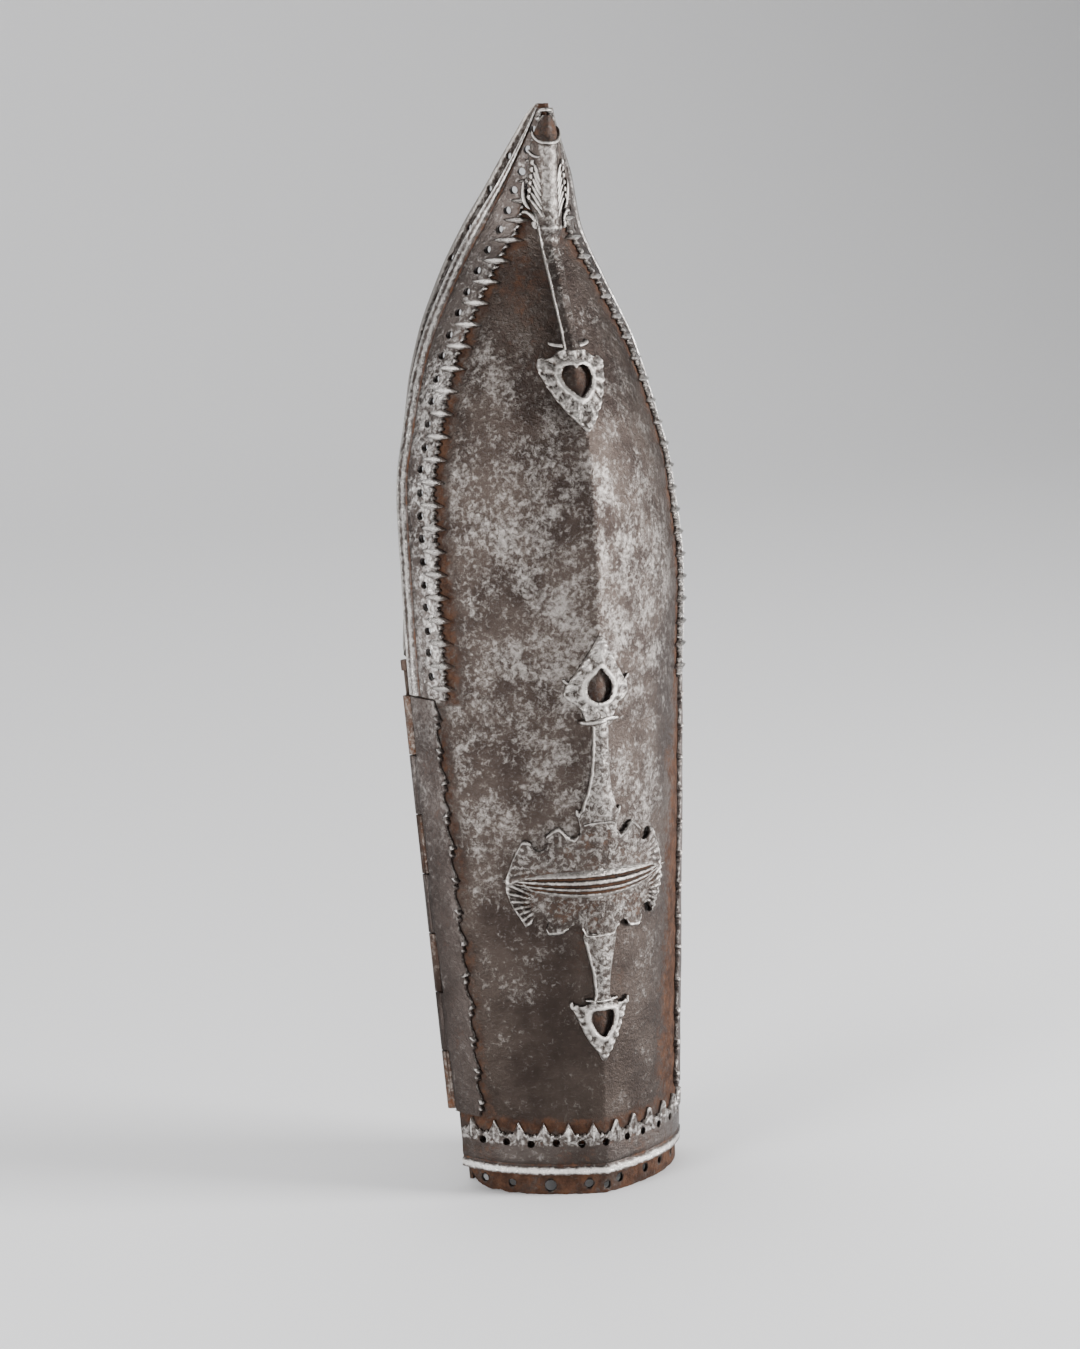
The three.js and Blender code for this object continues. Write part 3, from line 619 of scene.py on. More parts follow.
flange_worn = np.interp(up, (0, 0.5, 1.0, 2.0, 2.6, 3.2), (0.15, 0.4, 0.95, 0.9, 0.4, 0.1))
worn = np.max([flange_worn * (up < 3.2), 0.55 * crest, 0.8 * bead, 0.85 * lip, 0.30 * (up > 11)], axis=0)
worn = worn * (w > 0.5)
low = unit((up - 12.5) / 3) * (1 - unit(crest + bead + lip)) * 0.3
rust = np.max([0.45 * bell(up, 3.7, 0.8), low, 0.24 * (up > 3) * (up < 13)], axis=0)
rust = rust + 0.35 * (w < 0.5) + 0.4 * (up < 0.3)
places = on_plate(reach, WRIST_FOOT + up, np.where(w > 0.5, front, np.where(to_edge < 1, EDGE_SEAT, SEAT)))
wrist_border = steel_piece("wrist_strip", lay(slab, places, worn, rust), border_steel)
wrist_holes = []
for k in range(1 - WRIST_TEETH // 2, WRIST_TEETH // 2):
    hole_height = WRIST_FOOT + WRIST_HOLE_LINE + uneven(k + 3, 0.3)
    wrist_holes.append((k * WRIST_PITCH + uneven(k, 0.4), hole_height, WRIST_HOLE))
drill(wrist_border, wrist_holes)
drill(plate, wrist_holes)
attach(wrist_border, "outer_guard")
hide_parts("wrist_border")

# Right strap: a narrow strip along the right rim beside the wrist, with the rim of the borders
# and a plain scalloped inner edge.
STRAP_FOOT = 28.5
STRAP_TOP = 184.5
STRAP_PITCH = 12.0

# A scallop's distance from the rim, and where its bead and its small lobe stand
SCALLOP = (
    (0, 10.5), (0.10, 10.6), (0.40, 12.1), (0.47, 11.8), (0.60, 12.2), (0.66, 11.4), (0.84, 11.7),
    (0.90, 10.6), (1, 10.5),
)
BEAD_PLACE = 0.54
LOBE_PLACE = 0.76
SCALLOP_STEPS = 24


def strap_edge(fall):
    """Distance from the rim to the strap's inner edge; fall is the share of a tooth passed downwards."""
    run = read_rows(SCALLOP, fall)
    bead = 0.8 * np.sqrt(unit(1 - ((fall - BEAD_PLACE) / 0.075) ** 2))
    lobe = 0.35 * np.sqrt(unit(1 - ((fall - LOBE_PLACE) / 0.07) ** 2))
    return run + bead + lobe


def strap_slab(side, outer, profile):
    """A strap along one rim, from its outer edge to its cut inner one."""
    shares, heights, slants, count = walk_rim(STRAP_FOOT, STRAP_TOP, STRAP_PITCH)
    slab, u, v, w = flat_slab(30, count * SCALLOP_STEPS)
    fall = 1 - (v * count) % 1
    tooth = np.floor(v * count)
    edge = strap_edge(unit(fall + 0.06 * np.sin(tooth * 5.1) * np.sin(fall * np.pi)))
    edge = edge + 0.35 * np.sin(tooth * 2.7) * np.sin(np.pi * fall)
    inward = past_rim(u, (0, 0.1, 0.2, 0.3, RIM_SHARE), outer + np.array([0, 0.6, 1.9, 3.1, 5.5]), edge)
    height = np.interp(v, shares, heights)
    slant = np.interp(v, shares, slants)
    front = read_rows(profile, inward)
    to_edge = edge - inward
    front = np.minimum(front, 1.0 + 0.8 * np.sqrt(unit(to_edge)))
    past_bead, past_lobe = (fall - BEAD_PLACE) * STRAP_PITCH, (fall - LOBE_PLACE) * STRAP_PITCH
    bead = unit(1 - (past_bead / 1.05) ** 2 - ((to_edge - 0.9) / 1.05) ** 2)
    lobe = unit(1 - (past_lobe / 0.9) ** 2 - ((to_edge - 0.8) / 0.9) ** 2)
    front = front + 0.9 * np.sqrt(bead) + 0.4 * np.sqrt(lobe)
    lip = unit(1 - to_edge / 0.5) * (fall < 0.5)
    crest = unit((front - 2.9) / 0.5) * (inward < 4)
    worn = np.max([crest, bead * 1.2, 0.6 * lobe, 0.5 * lip], axis=0) * (w > 0.5)
    rust = 0.22 * unit(to_edge / 4) * (inward > 3) + 0.35 * (w < 0.5)
    reach = side * (flank_at(height) - inward * slant)
    lift = np.where(w > 0.5, front, np.where(to_edge < 1, EDGE_SEAT, SEAT))
    return lay(slab, on_plate(reach, height, lift), worn, rust)


strap_steel = patina(
    "strap_steel", (0.050, 0.039, 0.035, 1), (0.088, 0.071, 0.064, 1), (0.44, 0.41, 0.385, 1),
    (0.050, 0.024, 0.015, 1), (0.150, 0.072, 0.045, 1), 0.42, 0.35,
)
right_strap = steel_piece("right_scalloped_strip", strap_slab(1, -0.2, RIM_PROFILE), strap_steel)
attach(right_strap, "outer_guard")
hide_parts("right_strap")

# Hinge strap: the strip along the left rim beside the wrist, whose outer edge is rolled round
# the hinge pin in three knuckles that take turns with the four of the inner plate.
HINGE_LENGTH = STRAP_TOP - STRAP_FOOT
KNUCKLES = 7
KNUCKLE_RADIUS = 2.4
KNUCKLE_GAP = 0.6
BARREL_OUT = 3.4
PIN_BORE = 1.4
ROD_SIDES = 32

# The hinge line, in metres: its foot, and its rise for each millimetre of height
PIN_FOOT = Vector((-0.045799, -0.001838, 0.0285))
PIN_RISE = Vector((-0.058065, 0.120903, 1.0)) / 1000


def hinge_rod(form, start, end, radius):
    """Adds a round rod on the hinge line; start and end are rises above its foot in millimetres."""
    add_rod(form, PIN_FOOT + PIN_RISE * start, PIN_FOOT + PIN_RISE * end, radius, ROD_SIDES)


def add_knuckles(piece, own, room_round, rubbed, browned):
    """Rolls a leaf's own knuckles on, and clears room for the other leaf's and for the pin."""
    room, rods, bore = bmesh.new(), bmesh.new(), bmesh.new()
    step, gap = HINGE_LENGTH / KNUCKLES, KNUCKLE_GAP / 2
    for k in range(KNUCKLES):
        if k % 2 == own:
            hinge_rod(rods, k * step + gap, (k + 1) * step - gap, KNUCKLE_RADIUS)
        else:
            hinge_rod(room, k * step - gap, (k + 1) * step + gap, KNUCKLE_RADIUS + room_round)
    hinge_rod(bore, -1, HINGE_LENGTH + 1, PIN_BORE)
    material = piece.data.materials[0]
    for form, worn, operation in ((rods, rubbed, "UNION"), (room, 0, "DIFFERENCE"), (bore, 0, "DIFFERENCE")):
        lay(form, np.array([v.co for v in form.verts]), worn, browned)
        cut_or_join(piece, steel_piece("knuckle_form", form, material), operation)


LEAF_PROFILE = ((-4, 1.6), (60, 1.6))
hinge_strap = steel_piece("hinge_leaf", strap_slab(-1, -BARREL_OUT, LEAF_PROFILE), strap_steel)
add_knuckles(hinge_strap, 1, 1.4, 0, 0.2)
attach(hinge_strap, "outer_guard")
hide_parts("hinge_strap")

# Hinge pin: a straight iron rod through all the knuckles, with a small turned head that stands
# above the topmost one.
rust_steel = patina(
    "rust_steel", (0.055, 0.036, 0.029, 1), (0.098, 0.068, 0.054, 1), (0.32, 0.28, 0.25, 1),
    (0.055, 0.024, 0.013, 1), (0.220, 0.085, 0.034, 1), 0.52, 0.35,
)
PIN_RADIUS = 1.1
HEAD_RADIUS = 1.9
HEAD_FOOT = HINGE_LENGTH + 9
HEAD_HEIGHT = 4.0
HEAD_BEVEL = 0.4
form = bmesh.new()
hinge_rod(form, 0, HEAD_FOOT + 1, PIN_RADIUS)
hinge_pin = steel_piece("pin_rod", form, rust_steel)
form = bmesh.new()
hinge_rod(form, HEAD_FOOT, HEAD_FOOT + HEAD_HEIGHT, HEAD_RADIUS)
end_edges = [e for e in form.edges if e.calc_length() < HEAD_RADIUS / 1000]
bmesh.ops.bevel(
    form, geom=end_edges, offset=HEAD_BEVEL / 1000, segments=3, affect="EDGES", profile=0.5, material=-1,
)
cut_or_join(hinge_pin, steel_piece("head", form, rust_steel), "UNION")
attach(hinge_pin, "outer_guard")
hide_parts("hinge_pin")

# Inner wrist plate: the thin curved door that closes the wrist from behind. It is hinged on the
# left and its free edge rests just behind the right margin.
PLATE_BULGE = 18.0
DOOR_THICKNESS = 1.3
DOOR_GAP = 0.6
STEP_BELOW_HINGE = 4.5
slab, u, v, w = flat_slab(96, 140)
height = v * STRAP_TOP
share = 2 * u - 1
margin = np.interp(height, HEIGHTS, MARGIN)
right = on_plate(flank_at(height) + margin, height, -PLATE_THICKNESS / 2) * 1000
left = (np.array(PIN_FOOT)[None, :] + (height - STRAP_FOOT)[:, None] * np.array(PIN_RISE)[None, :]) * 1000
left[:, 1] += KNUCKLE_RADIUS - DOOR_THICKNESS / 2
left[:, 0] += STEP_BELOW_HINGE * unit((STRAP_FOOT + 1 - height) / 3)
right[:, 1] += DOOR_GAP + DOOR_THICKNESS / 2
middle = left + (right - left) * u[:, None]
slope = -4 * PLATE_BULGE * share / (right[:, 0] - left[:, 0])
size = np.hypot(slope, 1)
depth = (w - 0.5) * DOOR_THICKNESS
places = np.stack([
    middle[:, 0] + slope / size * depth,
    middle[:, 1] + PLATE_BULGE * (1 - share**2) - depth / size,
    height,
], axis=-1) / 1000
rust = 0.35 + 0.2 * np.sin(height * 0.05 + share * 3)
top_edge = unit(1 - (STRAP_TOP - height) / 1.2)
free_edge = unit((share - 0.975) / 0.02)
worn = 0.7 * np.maximum(top_edge, free_edge)
wrist_plate = steel_piece("wrist_door", lay(slab, places, worn, rust), rust_steel)
# The door's own knuckles are worn bright, partly as rubbing and partly as a painted highlight along the
# barrels
add_knuckles(wrist_plate, 0, 0.6, 0.40, 0.45)
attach(wrist_plate, "inner_guard")
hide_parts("wrist_plate")

# Upper mount: a bright wrought finial that caps the border's point on the ridge, with a cup, a
# fronded palmette, a plain tapering stem, a small crossbar and a pierced leaf at its foot.
OVER_BORDERS = 1.6


def spine(outline, seat, relief):
    """A strip along the ridge, ruled across from (height, half width, rise) rows."""
    slab, u, v, w = flat_slab(36, 440)
    foot, top = outline[0][0], outline[-1][0]
    height = foot + (top - foot) * v
    half = read_rows(outline, height)
    raised = read_rows(outline, height, 2)
    share = 2 * u - 1
    share = np.sign(share) * np.abs(share) ** 0.8
    reach = share * half
    to_edge = (1 - np.abs(share)) * half
    crown, bright = relief(reach, height, to_edge)
    edge = np.sqrt(unit(to_edge / 0.7))
    base = seat(height)
    front = base + 0.9 + 0.5 * edge + (raised * (1 - np.abs(share) ** 1.6) + crown) * edge
    front = front - softened(reach, np.minimum(half, 7.0))
    worn = unit(np.maximum(bright, 0.85 - to_edge / 0.5)) * (w > 0.5)
    rust = np.where(height > 386, 0.4, 0.12) + 0.2 * (w < 0.5)
    return lay(slab, on_plate(reach, height, np.where(w > 0.5, front, base)), worn, rust)


def softened(reach, span):
    """How far a mount sinks towards the ridge so that it rounds over the crease within a span."""
    return 0.27 * np.clip(span - np.abs(reach), 0, None) ** 2 / (2 * span)


def frond(form, path, width, rise, seat, blunt=0.0):
    """Adds a raised leaf to a form: path is (reach, height) points, width and rise its fullest sizes."""
    slab, u, v, w = flat_slab(10, 26)
    points = np.array(path, float)
    steps = np.linspace(0, 1, len(points))
    bend = np.polyfit(steps, points[:, 0], min(3, len(points) - 1))
    climb = np.polyfit(steps, points[:, 1], min(3, len(points) - 1))
    ahead_reach = np.polyval(np.polyder(bend), v)
    ahead_height = np.polyval(np.polyder(climb), v)
    length = np.maximum(np.hypot(ahead_reach, ahead_height), 1e-6)
    swell = unit(np.sin(np.pi * (0.02 + 0.96 * v))) ** 0.6
    swell = blunt + (1 - blunt) * swell
    across = (2 * u - 1) * width / 2 * swell
    reach = np.polyval(bend, v) + across * ahead_height / length
    height = np.polyval(climb, v) - across * ahead_reach / length
    dome = np.sqrt(unit(1 - (2 * u - 1) ** 2)) * np.minimum(1, 8 * np.minimum(v, 1 - v)) ** 0.5
    base = seat(height)
    places = on_plate(reach, height, np.where(w > 0.5, base + 0.15 + rise * dome, base - 0.4))
    lay(slab, places, unit(1.3 * dome - 0.42) * (w > 0.5), 0.3 * (1 - dome))
    mesh = bpy.data.meshes.new("leaf")
    slab.to_mesh(mesh)
    slab.free()
    form.from_mesh(mesh)
    bpy.data.meshes.remove(mesh)


def both_sides(form, path, width, rise, seat):
    """Adds a leaf and its mirror twin across the ridge."""
    for way in (-1, 1):
        frond(form, [(way * reach, height) for reach, height in path], width, rise, seat)


def opening_edge(shape, reach, height, centre):
    """How far a point lies outside an opening given as (degrees from upright, radius) rows."""
    turn = np.degrees(np.arctan2(np.abs(reach), height - centre))
    return np.hypot(reach, height - centre) - read_rows(shape, turn)


OPENING_SIDES = 96
OPENING_DEPTH = 0.03


def pierce(piece, shape, centre):
    """Cuts an opening straight back through a mount."""
    form = bmesh.new()
    y = float(on_plate(0, centre, 0)[1])
    turn = Matrix.Rotation(math.radians(90), 4, "X")
    bmesh.ops.create_cone(
        form, cap_ends=True, segments=OPENING_SIDES, radius1=1, radius2=1, depth=OPENING_DEPTH, matrix=turn,
    )
    for vert in form.verts:
        turned = math.degrees(math.atan2(abs(vert.co.x), vert.co.z))
        radius = float(read_rows(shape, turned)) / 1000
        vert.co = (vert.co.x * radius * 0.97, vert.co.y + y, centre / 1000 + vert.co.z * radius)
    cut_or_join(piece, steel_piece("opening", form, piece.data.materials[0]), "DIFFERENCE")


def notch(piece, cuts):
    """Cuts round notches on both sides of the ridge: reach, height and radius."""
    drill(piece, [(way * reach, height, radius) for reach, height, radius in cuts for way in (-1, 1)])


mount_steel = patina(
    "mount_steel", (0.030, 0.023, 0.020, 1), (0.062, 0.050, 0.044, 1), (0.48, 0.45, 0.42, 1),
    (0.040, 0.020, 0.012, 1), (0.125, 0.058, 0.030, 1), 0.37, 0.5,
)
HEART = (
    (0, 3.2), (12, 3.9), (28, 5.0), (50, 5.9), (75, 6.2), (100, 5.9), (125, 5.5), (150, 5.5), (168, 6.2),
    (180, 6.9),
)
HEART_CENTRE = 303.2
UPPER_MOUNT = (
    (284.6, 0.6, 0.5), (286.5, 2.0, 0.6), (289, 4.4, 0.6), (292, 6.9, 0.5), (296, 9.6, 0.4),
    (300, 11.7, 0.3), (304, 13.3, 0.3), (307.2, 14.0, 0.3), (309.4, 13.0, 0.3), (310.4, 9.5, 0.4),
    (311.6, 6.8, 0.5), (312.4, 5.0, 0.6), (313.0, 3.0, 0.5), (320, 2.8, 0.3), (330, 3.1, 0.3),
    (345, 3.5, 0.35), (356, 4.0, 0.5), (360, 4.6, 0.6), (363, 5.7, 0.6), (368, 6.5, 0.5), (375, 6.5, 0.5),
    (380, 6.0, 0.4), (385, 5.0, 0.2), (391, 3.2, 0.1), (396, 0.8, 0.0),
)
STEM_FOOT = 312.5
STEM_TOP = 361
RINGS = (351, 355.5)
BEAD_PITCH = 2.3


def upper_seat(height):
    climbed = unit((height - RINGS[0]) / 4)
    sunk = unit((height - 386) / 7)
    return SEAT + OVER_BORDERS * climbed * (1 - 0.5 * sunk)


def stem_beads_and_left_highlight(reach, to_edge):
    """A raised bead along both edges of a stem, full on the left and faint on the right; its brightness is
    partly wear and partly a painted highlight along the left edge.
    """
    return bell(to_edge, 0.55, 0.4) * (0.15 + 0.85 * (reach < 0))


def leaf_relief(reach, height, to_edge, shape, centre, strokes):
    """Flutes that fan out from an opening with a polished rim, and beads along the leaf's edge."""
    rim = opening_edge(shape, reach, height, centre)
    turn = np.arctan2(np.abs(reach), height - centre)
    flute = np.cos(turn * strokes) * unit((rim - 1.6) / 1.2)
    polished = bell(rim, 0.8, 0.7)
    bead = (0.5 + 0.5 * np.cos(height * 2 * np.pi / BEAD_PITCH)) * bell(to_edge, 0.9, 0.7)
    crown = 0.32 * flute + 0.50 * polished + 0.50 * bead
    return crown, unit(0.42 + 0.14 * flute + 0.6 * polished + 0.5 * bead)


def upper_relief(reach, height, to_edge):
    crown, bright = leaf_relief(reach, height, to_edge, HEART, HEART_CENTRE, 15)
    line = stem_beads_and_left_highlight(reach, to_edge)
    trunk = np.cos(np.pi / 2 * unit(np.abs(reach) / 3.6)) ** 2 * unit((height - 350) / 14)
    rings = sum(bell(height, ring, 0.9) for ring in RINGS)
    stem = (height > STEM_FOOT) & (height < STEM_TOP)
    low = height < STEM_FOOT
    crown = np.where(low, crown, np.where(stem, 0.45 * line, 0) + 1.3 * trunk + 0.25 * rings)
    # The upper stem's beads carry a painted highlight, strongest on the left edge
    bright = np.where(low, bright, 0.06 + np.where(stem, line, 0) + 0.42 * trunk + 0.3 * rings)
    return crown * unit((389 - height) / 4), bright * unit((387 - height) / 3)


form = spine(UPPER_MOUNT, upper_seat, upper_relief)
upper_mount = steel_piece("upper_mount", form, mount_steel)
notch(upper_mount, [(9.0, 313.2, 3.6)])
pierce(upper_mount, HEART, HEART_CENTRE)


def upper_face(height):
    return upper_seat(height) + 1.3


def crossbar_seat(height):
    return np.full_like(height, SEAT + 0.4)


fronds = bmesh.new()
frond(fronds, [(-7.4, 315.8), (-4.5, 314.2), (4.5, 314.2), (7.4, 315.8)], 1.7, 1.0, crossbar_seat)
for k in range(6):
    foot = 360.4 + 2.5 * k
    leaf = [(1.2, foot - 1.8), (2.7, foot + 1.1), (4.4 - 0.2 * k, foot + 3.9), (5.7 - 0.3 * k, foot + 5.4)]
    both_sides(fronds, leaf, 1.6, 0.8, upper_face)
    curl = [(5.5 - 0.3 * k, foot + 5.0), (6.1 - 0.3 * k, foot + 6.2), (5.3 - 0.3 * k, foot + 6.9)]
    both_sides(fronds, curl, 1.5, 1.25, upper_face)
both_sides(fronds, [(5.4, 362.0), (7.2, 364.2), (7.9, 368.0), (7.4, 373.0)], 1.7, 0.9, upper_face)
both_sides(fronds, [(4.2, 356.6), (5.2, 359.6), (7.0, 361.0), (8.8, 360.6)], 1.8, 0.9, upper_face)
both_sides(fronds, [(3.8, 355.0), (4.7, 356.4), (4.6, 358.0)], 2.0, 1.1, upper_face)
frond(fronds, [(-3.8, 391.6), (-3.0, 387.8), (0, 385.6), (3.0, 387.8), (3.8, 391.6)], 1.4, 1.0, upper_face)
frond(fronds, [(-5.6, 383.6), (-4.0, 381.4), (-1.6, 381.2)], 1.4, 0.9, upper_face)
frond(fronds, [(-1.8, 396.2), (-1.0, 397.7), (1.0, 397.7), (1.8, 396.2)], 1.5, 1.0, upper_seat)
cut_or_join(upper_mount, steel_piece("fronds", fronds, mount_steel), "UNION")
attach(upper_mount, "outer_guard")
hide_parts("upper_ridge_mount")

# Lower mount: a pierced leaf on a short stem that spreads into a wide scalloped palmette with a
# ribbed boat-shaped bar across it, and ends below in a second pierced leaf.
DROP = (
    (0, 8.3), (8, 7.2), (20, 6.1), (40, 5.5), (65, 5.3), (90, 5.3), (120, 5.1), (150, 4.8), (180, 4.6),
)
DROP_CENTRE = 191.0
SHIELD = (
    (0, 3.7), (25, 4.1), (45, 5.2), (60, 5.2), (80, 4.7), (100, 4.4), (130, 4.4), (155, 5.0), (180, 6.3),
)
SHIELD_CENTRE = 66.3
LOWER_MOUNT = (
    (51.2, 0.6, 0.5), (54, 1.9, 0.5), (58, 5.0, 0.4), (62, 7.2, 0.4), (66, 8.8, 0.3), (69, 10.1, 0.3),
    (71.8, 11.5, 0.3), (72.6, 10.6, 0.3), (73.2, 4.2, 0.5), (74.6, 3.2, 0.5), (76, 2.7, 0.4),
    (84, 3.4, 0.4), (92, 5.2, 0.4), (98, 6.6, 0.0), (100, 6.0, -0.6), (140, 7.4, -0.6), (142.5, 8.0, 0.0),
    (144.8, 8.4, 0.3), (146.0, 7.0, 0.5), (149.6, 6.0, 0.6), (152, 4.9, 0.6), (160, 3.4, 0.6),
    (170, 2.9, 0.5), (177.6, 2.9, 0.5), (178.4, 5.2, 0.6), (181.4, 6.0, 0.4), (183.5, 6.6, 0.3),
    (186.0, 9.0, 0.3), (187.6, 12.2, 0.3), (189.4, 13.1, 0.3), (192.5, 12.5, 0.3), (194.6, 10.9, 0.3),
    (197.6, 8.7, 0.4), (203, 5.2, 0.5), (207, 2.6, 0.5), (211, 0.6, 0.5),
)
DROP_FOOT = 181
SHIELD_TOP = 73.4


def lower_seat(height):
    return np.full_like(height, SEAT * 1.5)


def lower_relief(reach, height, to_edge):
    upper, upper_bright = leaf_relief(reach, height, to_edge, DROP, DROP_CENTRE, 13)
    lower, lower_bright = leaf_relief(reach, height, to_edge, SHIELD, SHIELD_CENTRE, 13)
    line = stem_beads_and_left_highlight(reach, to_edge) * (np.abs(height - 120.5) > 24)
    in_drop, in_shield = height > DROP_FOOT, height < SHIELD_TOP
    crown = np.where(in_drop, upper, np.where(in_shield, lower, 0.35 * line))
    # The lower stem's beads carry a painted highlight, strongest on the left edge
    bright = np.where(in_drop, upper_bright, np.where(in_shield, lower_bright, np.maximum(line, 0.36)))
    return crown, bright


form = spine(LOWER_MOUNT, lower_seat, lower_relief)
lower_mount = steel_piece("lower_mount", form, mount_steel)
notch(lower_mount, [(12.6, 183.4, 4.2), (7.6, 74.6, 2.6)])
pierce(lower_mount, DROP, DROP_CENTRE)
pierce(lower_mount, SHIELD, SHIELD_CENTRE)

# The palmette's lower and upper edge on the way out from the ridge
PALMETTE = (
    (0, 97.4, 142.0), (3.2, 97.4, 142.0), (5.6, 97.9, 141.5), (6.6, 100.4, 141.0), (8.2, 101.0, 137.0),
    (9.2, 101.0, 135.6), (11.0, 100.9, 136.0), (12.8, 100.7, 137.2), (14.0, 99.5, 138.7),
    (15.5, 99.2, 139.9), (17.6, 99.0, 138.8), (19.2, 99.0, 137.4), (20.2, 101.5, 136.6),
    (21.0, 104.5, 134.4), (24.0, 104.8, 133.8), (25.6, 103.2, 134.2), (27.6, 102.1, 134.9),
    (28.6, 104.0, 134.6), (30.1, 106.3, 131.6), (31.9, 109.0, 127.8), (33.4, 112.4, 123.4),
    (34.5, 115.8, 120.4),
)
PALMETTE_REACH = 34.5
RIGHT_HALF = 0.95
RIB_HEIGHT = 118.2
slab, u, v, w = flat_slab(190, 54)
out = (2 * u - 1) * PALMETTE_REACH
foot = read_rows(PALMETTE, np.abs(out))
top = read_rows(PALMETTE, np.abs(out), 2)
height = foot + (top - foot) * v
to_edge = np.minimum(np.minimum(height - foot, top - height), (PALMETTE_REACH + 0.3 - np.abs(out)) * 0.7)
fan = np.arctan2(np.abs(height - RIB_HEIGHT) - 6.5, np.abs(out) - 19)
flute = np.cos(fan * 30) * unit((np.abs(out) - 24) / 3) * np.where(height < RIB_HEIGHT, 1.0, 0.4)
edge = np.sqrt(unit(to_edge / 0.8))
bead = bell(to_edge, 0.6, 0.6)
front = SEAT + 1.1 + 0.5 * edge + 0.55 * flute * edge + 0.3 * bead - softened(out, 9.0)
worn = unit(np.maximum(bead, 0.24 + 0.50 * flute)) * (w > 0.5)
places = on_plate(out * np.where(out > 0, RIGHT_HALF, 1.0), height, np.where(w > 0.5, front, SEAT))
palmette = steel_piece("palmette", lay(slab, places, worn, 0.15 + 0.15 * (to_edge > 4)), mount_steel)
notch(palmette, [(8.8, 139.6, 2.9), (22.2, 134.0, 3.2), (22.2, 103.8, 3.1), (9.6, 100.4, 2.6)])
cut_or_join(lower_mount, palmette, "UNION")

# The boat-shaped bar over the palmette, with grooves along it
RIB_REACH = 35.8
RIB_HALF_WIDTH = 5.6
RIB_RISE = 4.6
RIB_GROOVES = (0.42, -0.08, -0.52)
slab, u, v, w = flat_slab(110, 44)
out = 2 * u - 1
up = 2 * v - 1
boat = np.clip(1 - out**2, 0.012, 1) ** 0.72
groove = sum(bell(up, line, 0.10) for line in RIB_GROOVES)
rise = RIB_RISE * np.sqrt(1 - 0.93 * up * up) * np.clip(boat, 0.42, 1) - 1.1 * groove * boat
rise = np.maximum(rise - softened(out * RIB_REACH, 12.0), 0.9)
height = RIB_HEIGHT + up * boat * RIB_HALF_WIDTH + 0.9 * out**2
places = on_plate(out * RIB_REACH, height, np.where(w > 0.5, rise, 0.6))
worn = unit(0.66 - 1.6 * groove) * (w > 0.5)
cut_or_join(lower_mount, steel_piece("rib", lay(slab, places, worn, 0.8 * groove), mount_steel), "UNION")


def lower_face(height):
    return lower_seat(height) + 0.4


fronds = bmesh.new()
frond(fronds, [(-8.2, 179.2), (-3.5, 179.0), (-0.4, 179.4), (2.0, 179.9)], 2.3, 1.5, lower_face, blunt=0.5)
frond(fronds, [(-1.2, 180.0), (2.0, 180.1), (5.0, 180.1), (8.2, 179.6)], 2.1, 1.5, lower_face, blunt=0.5)
frond(fronds, [(-6.2, 74.4), (-3.0, 73.9), (3.0, 73.9), (6.2, 74.4)], 1.5, 1.1, lower_face, blunt=0.3)
both_sides(fronds, [(10.6, 70.6), (11.4, 72.2), (11.2, 74.0)], 1.6, 0.9, lower_face)
both_sides(fronds, [(11.0, 193.4), (12.6, 194.2), (13.4, 195.4)], 1.3, 0.8, lower_face)
both_sides(fronds, [(7.0, 143.6), (8.2, 144.6), (8.6, 146.6)], 1.6, 0.9, lower_face)
cut_or_join(lower_mount, steel_piece("fronds", fronds, mount_steel), "UNION")
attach(lower_mount, "outer_guard")
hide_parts("lower_ridge_mount")

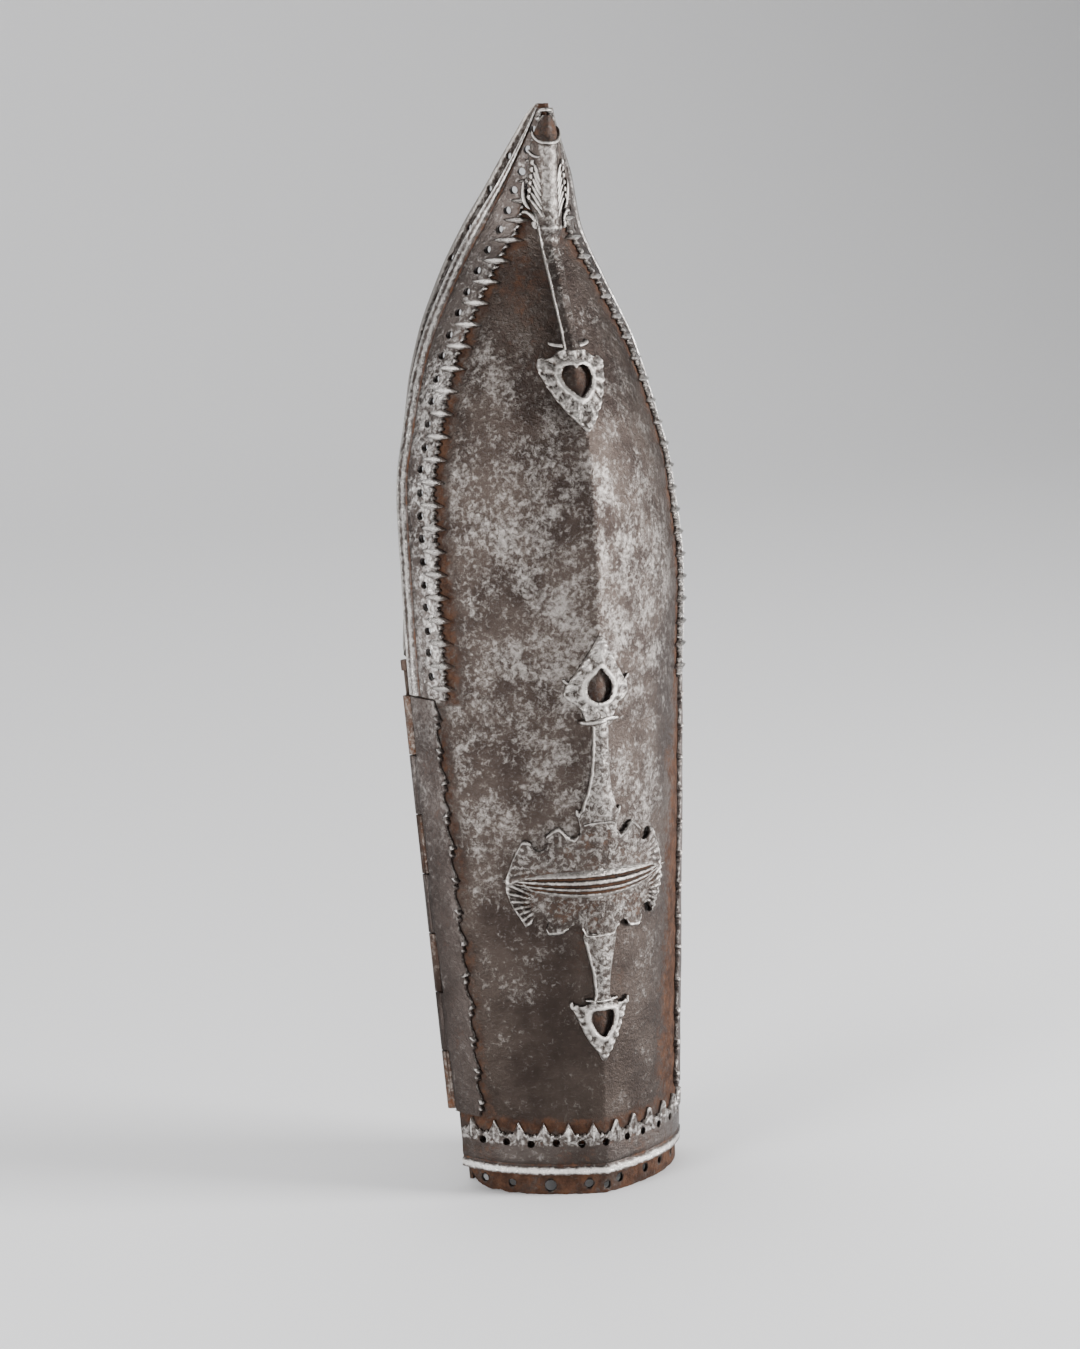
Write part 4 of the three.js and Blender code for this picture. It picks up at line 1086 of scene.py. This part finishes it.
# Floor and backdrop: one pale matt sheet that runs flat under the guard and far ahead of it, and
# sweeps up behind it in a round bend. Sizes here are in metres.
SHEET_LENGTH = 11.0
SHEET_HALF_WIDTH = 5.0
FLAT_LENGTH = 7.4
FLAT_AHEAD = 6.0
BEND_RADIUS = 1.2
backdrop_paint = bpy.data.materials.new("backdrop_paint")
backdrop_paint.use_nodes = True
paint = backdrop_paint.node_tree.nodes["Principled BSDF"]
paint.inputs["Base Color"].default_value = (0.80, 0.80, 0.81, 1)
paint.inputs["Roughness"].default_value = 0.9
form = bmesh.new()
bmesh.ops.create_grid(form, x_segments=2, y_segments=110, size=1)
for vert in form.verts:
    along = (vert.co.y + 1) / 2 * SHEET_LENGTH
    bend = min(max(along - FLAT_LENGTH, 0) / BEND_RADIUS, math.pi / 2)
    risen = max(along - FLAT_LENGTH - BEND_RADIUS * math.pi / 2, 0)
    back = min(along, FLAT_LENGTH) - FLAT_AHEAD + BEND_RADIUS * math.sin(bend)
    vert.co = (vert.co.x * SHEET_HALF_WIDTH, back, BEND_RADIUS * (1 - math.cos(bend)) + risen)
bmesh.ops.recalc_face_normals(form, faces=form.faces[:])
backdrop = steel_piece("backdrop", form, backdrop_paint)

# Studio light: a dim even surround, two tall soft boxes at the sides, a small one in front and a
# wide one overhead for the floor and the backdrop.
world = bpy.data.worlds.new("studio")
world.use_nodes = True
world.node_tree.nodes["Background"].inputs["Color"].default_value = (1, 1, 1, 1)
world.node_tree.nodes["Background"].inputs["Strength"].default_value = 0.12
bpy.context.scene.world = world


def soft_box(name, place, aim, width, height, power):
    light = bpy.data.lights.new(name, "AREA")
    light.shape = "RECTANGLE"
    light.size = width
    light.size_y = height
    light.energy = power
    made = bpy.data.objects.new(name, light)
    made.location = place
    made.rotation_euler = (Vector(aim) - Vector(place)).to_track_quat("-Z", "Y").to_euler()
    bpy.context.scene.collection.objects.link(made)


GUARD_MIDDLE = (0, 0, 0.25)
soft_box("left_box", (-1.02, -0.36, 0.42), GUARD_MIDDLE, 0.36, 0.8, 14)
soft_box("right_box", (0.95, -0.50, 0.42), GUARD_MIDDLE, 0.34, 0.8, 30)
soft_box("front_box", (-0.35, -1.55, 0.30), GUARD_MIDDLE, 0.45, 0.5, 9)
soft_box("top_box", (0, 0.8, 2.1), (0, 0.8, 0.0), 2.0, 1.6, 42)

# Camera: a long lens in front of the guard and to the left of its ridge, a little above its tip
# and turned to the middle of its height.
CAMERA_AIM = Vector((0, -0.002645, 0.200))
lens = bpy.data.cameras.new("camera")
lens.lens = 100.76
lens.sensor_width = 36
lens.shift_x = -0.01918
lens.shift_y = -0.0179
camera = bpy.data.objects.new("camera", lens)
camera.location = (-0.5787, -1.2437, 0.4911)
camera.rotation_euler = (CAMERA_AIM - camera.location).to_track_quat("-Z", "Y").to_euler()
bpy.context.scene.collection.objects.link(camera)
bpy.context.scene.camera = camera
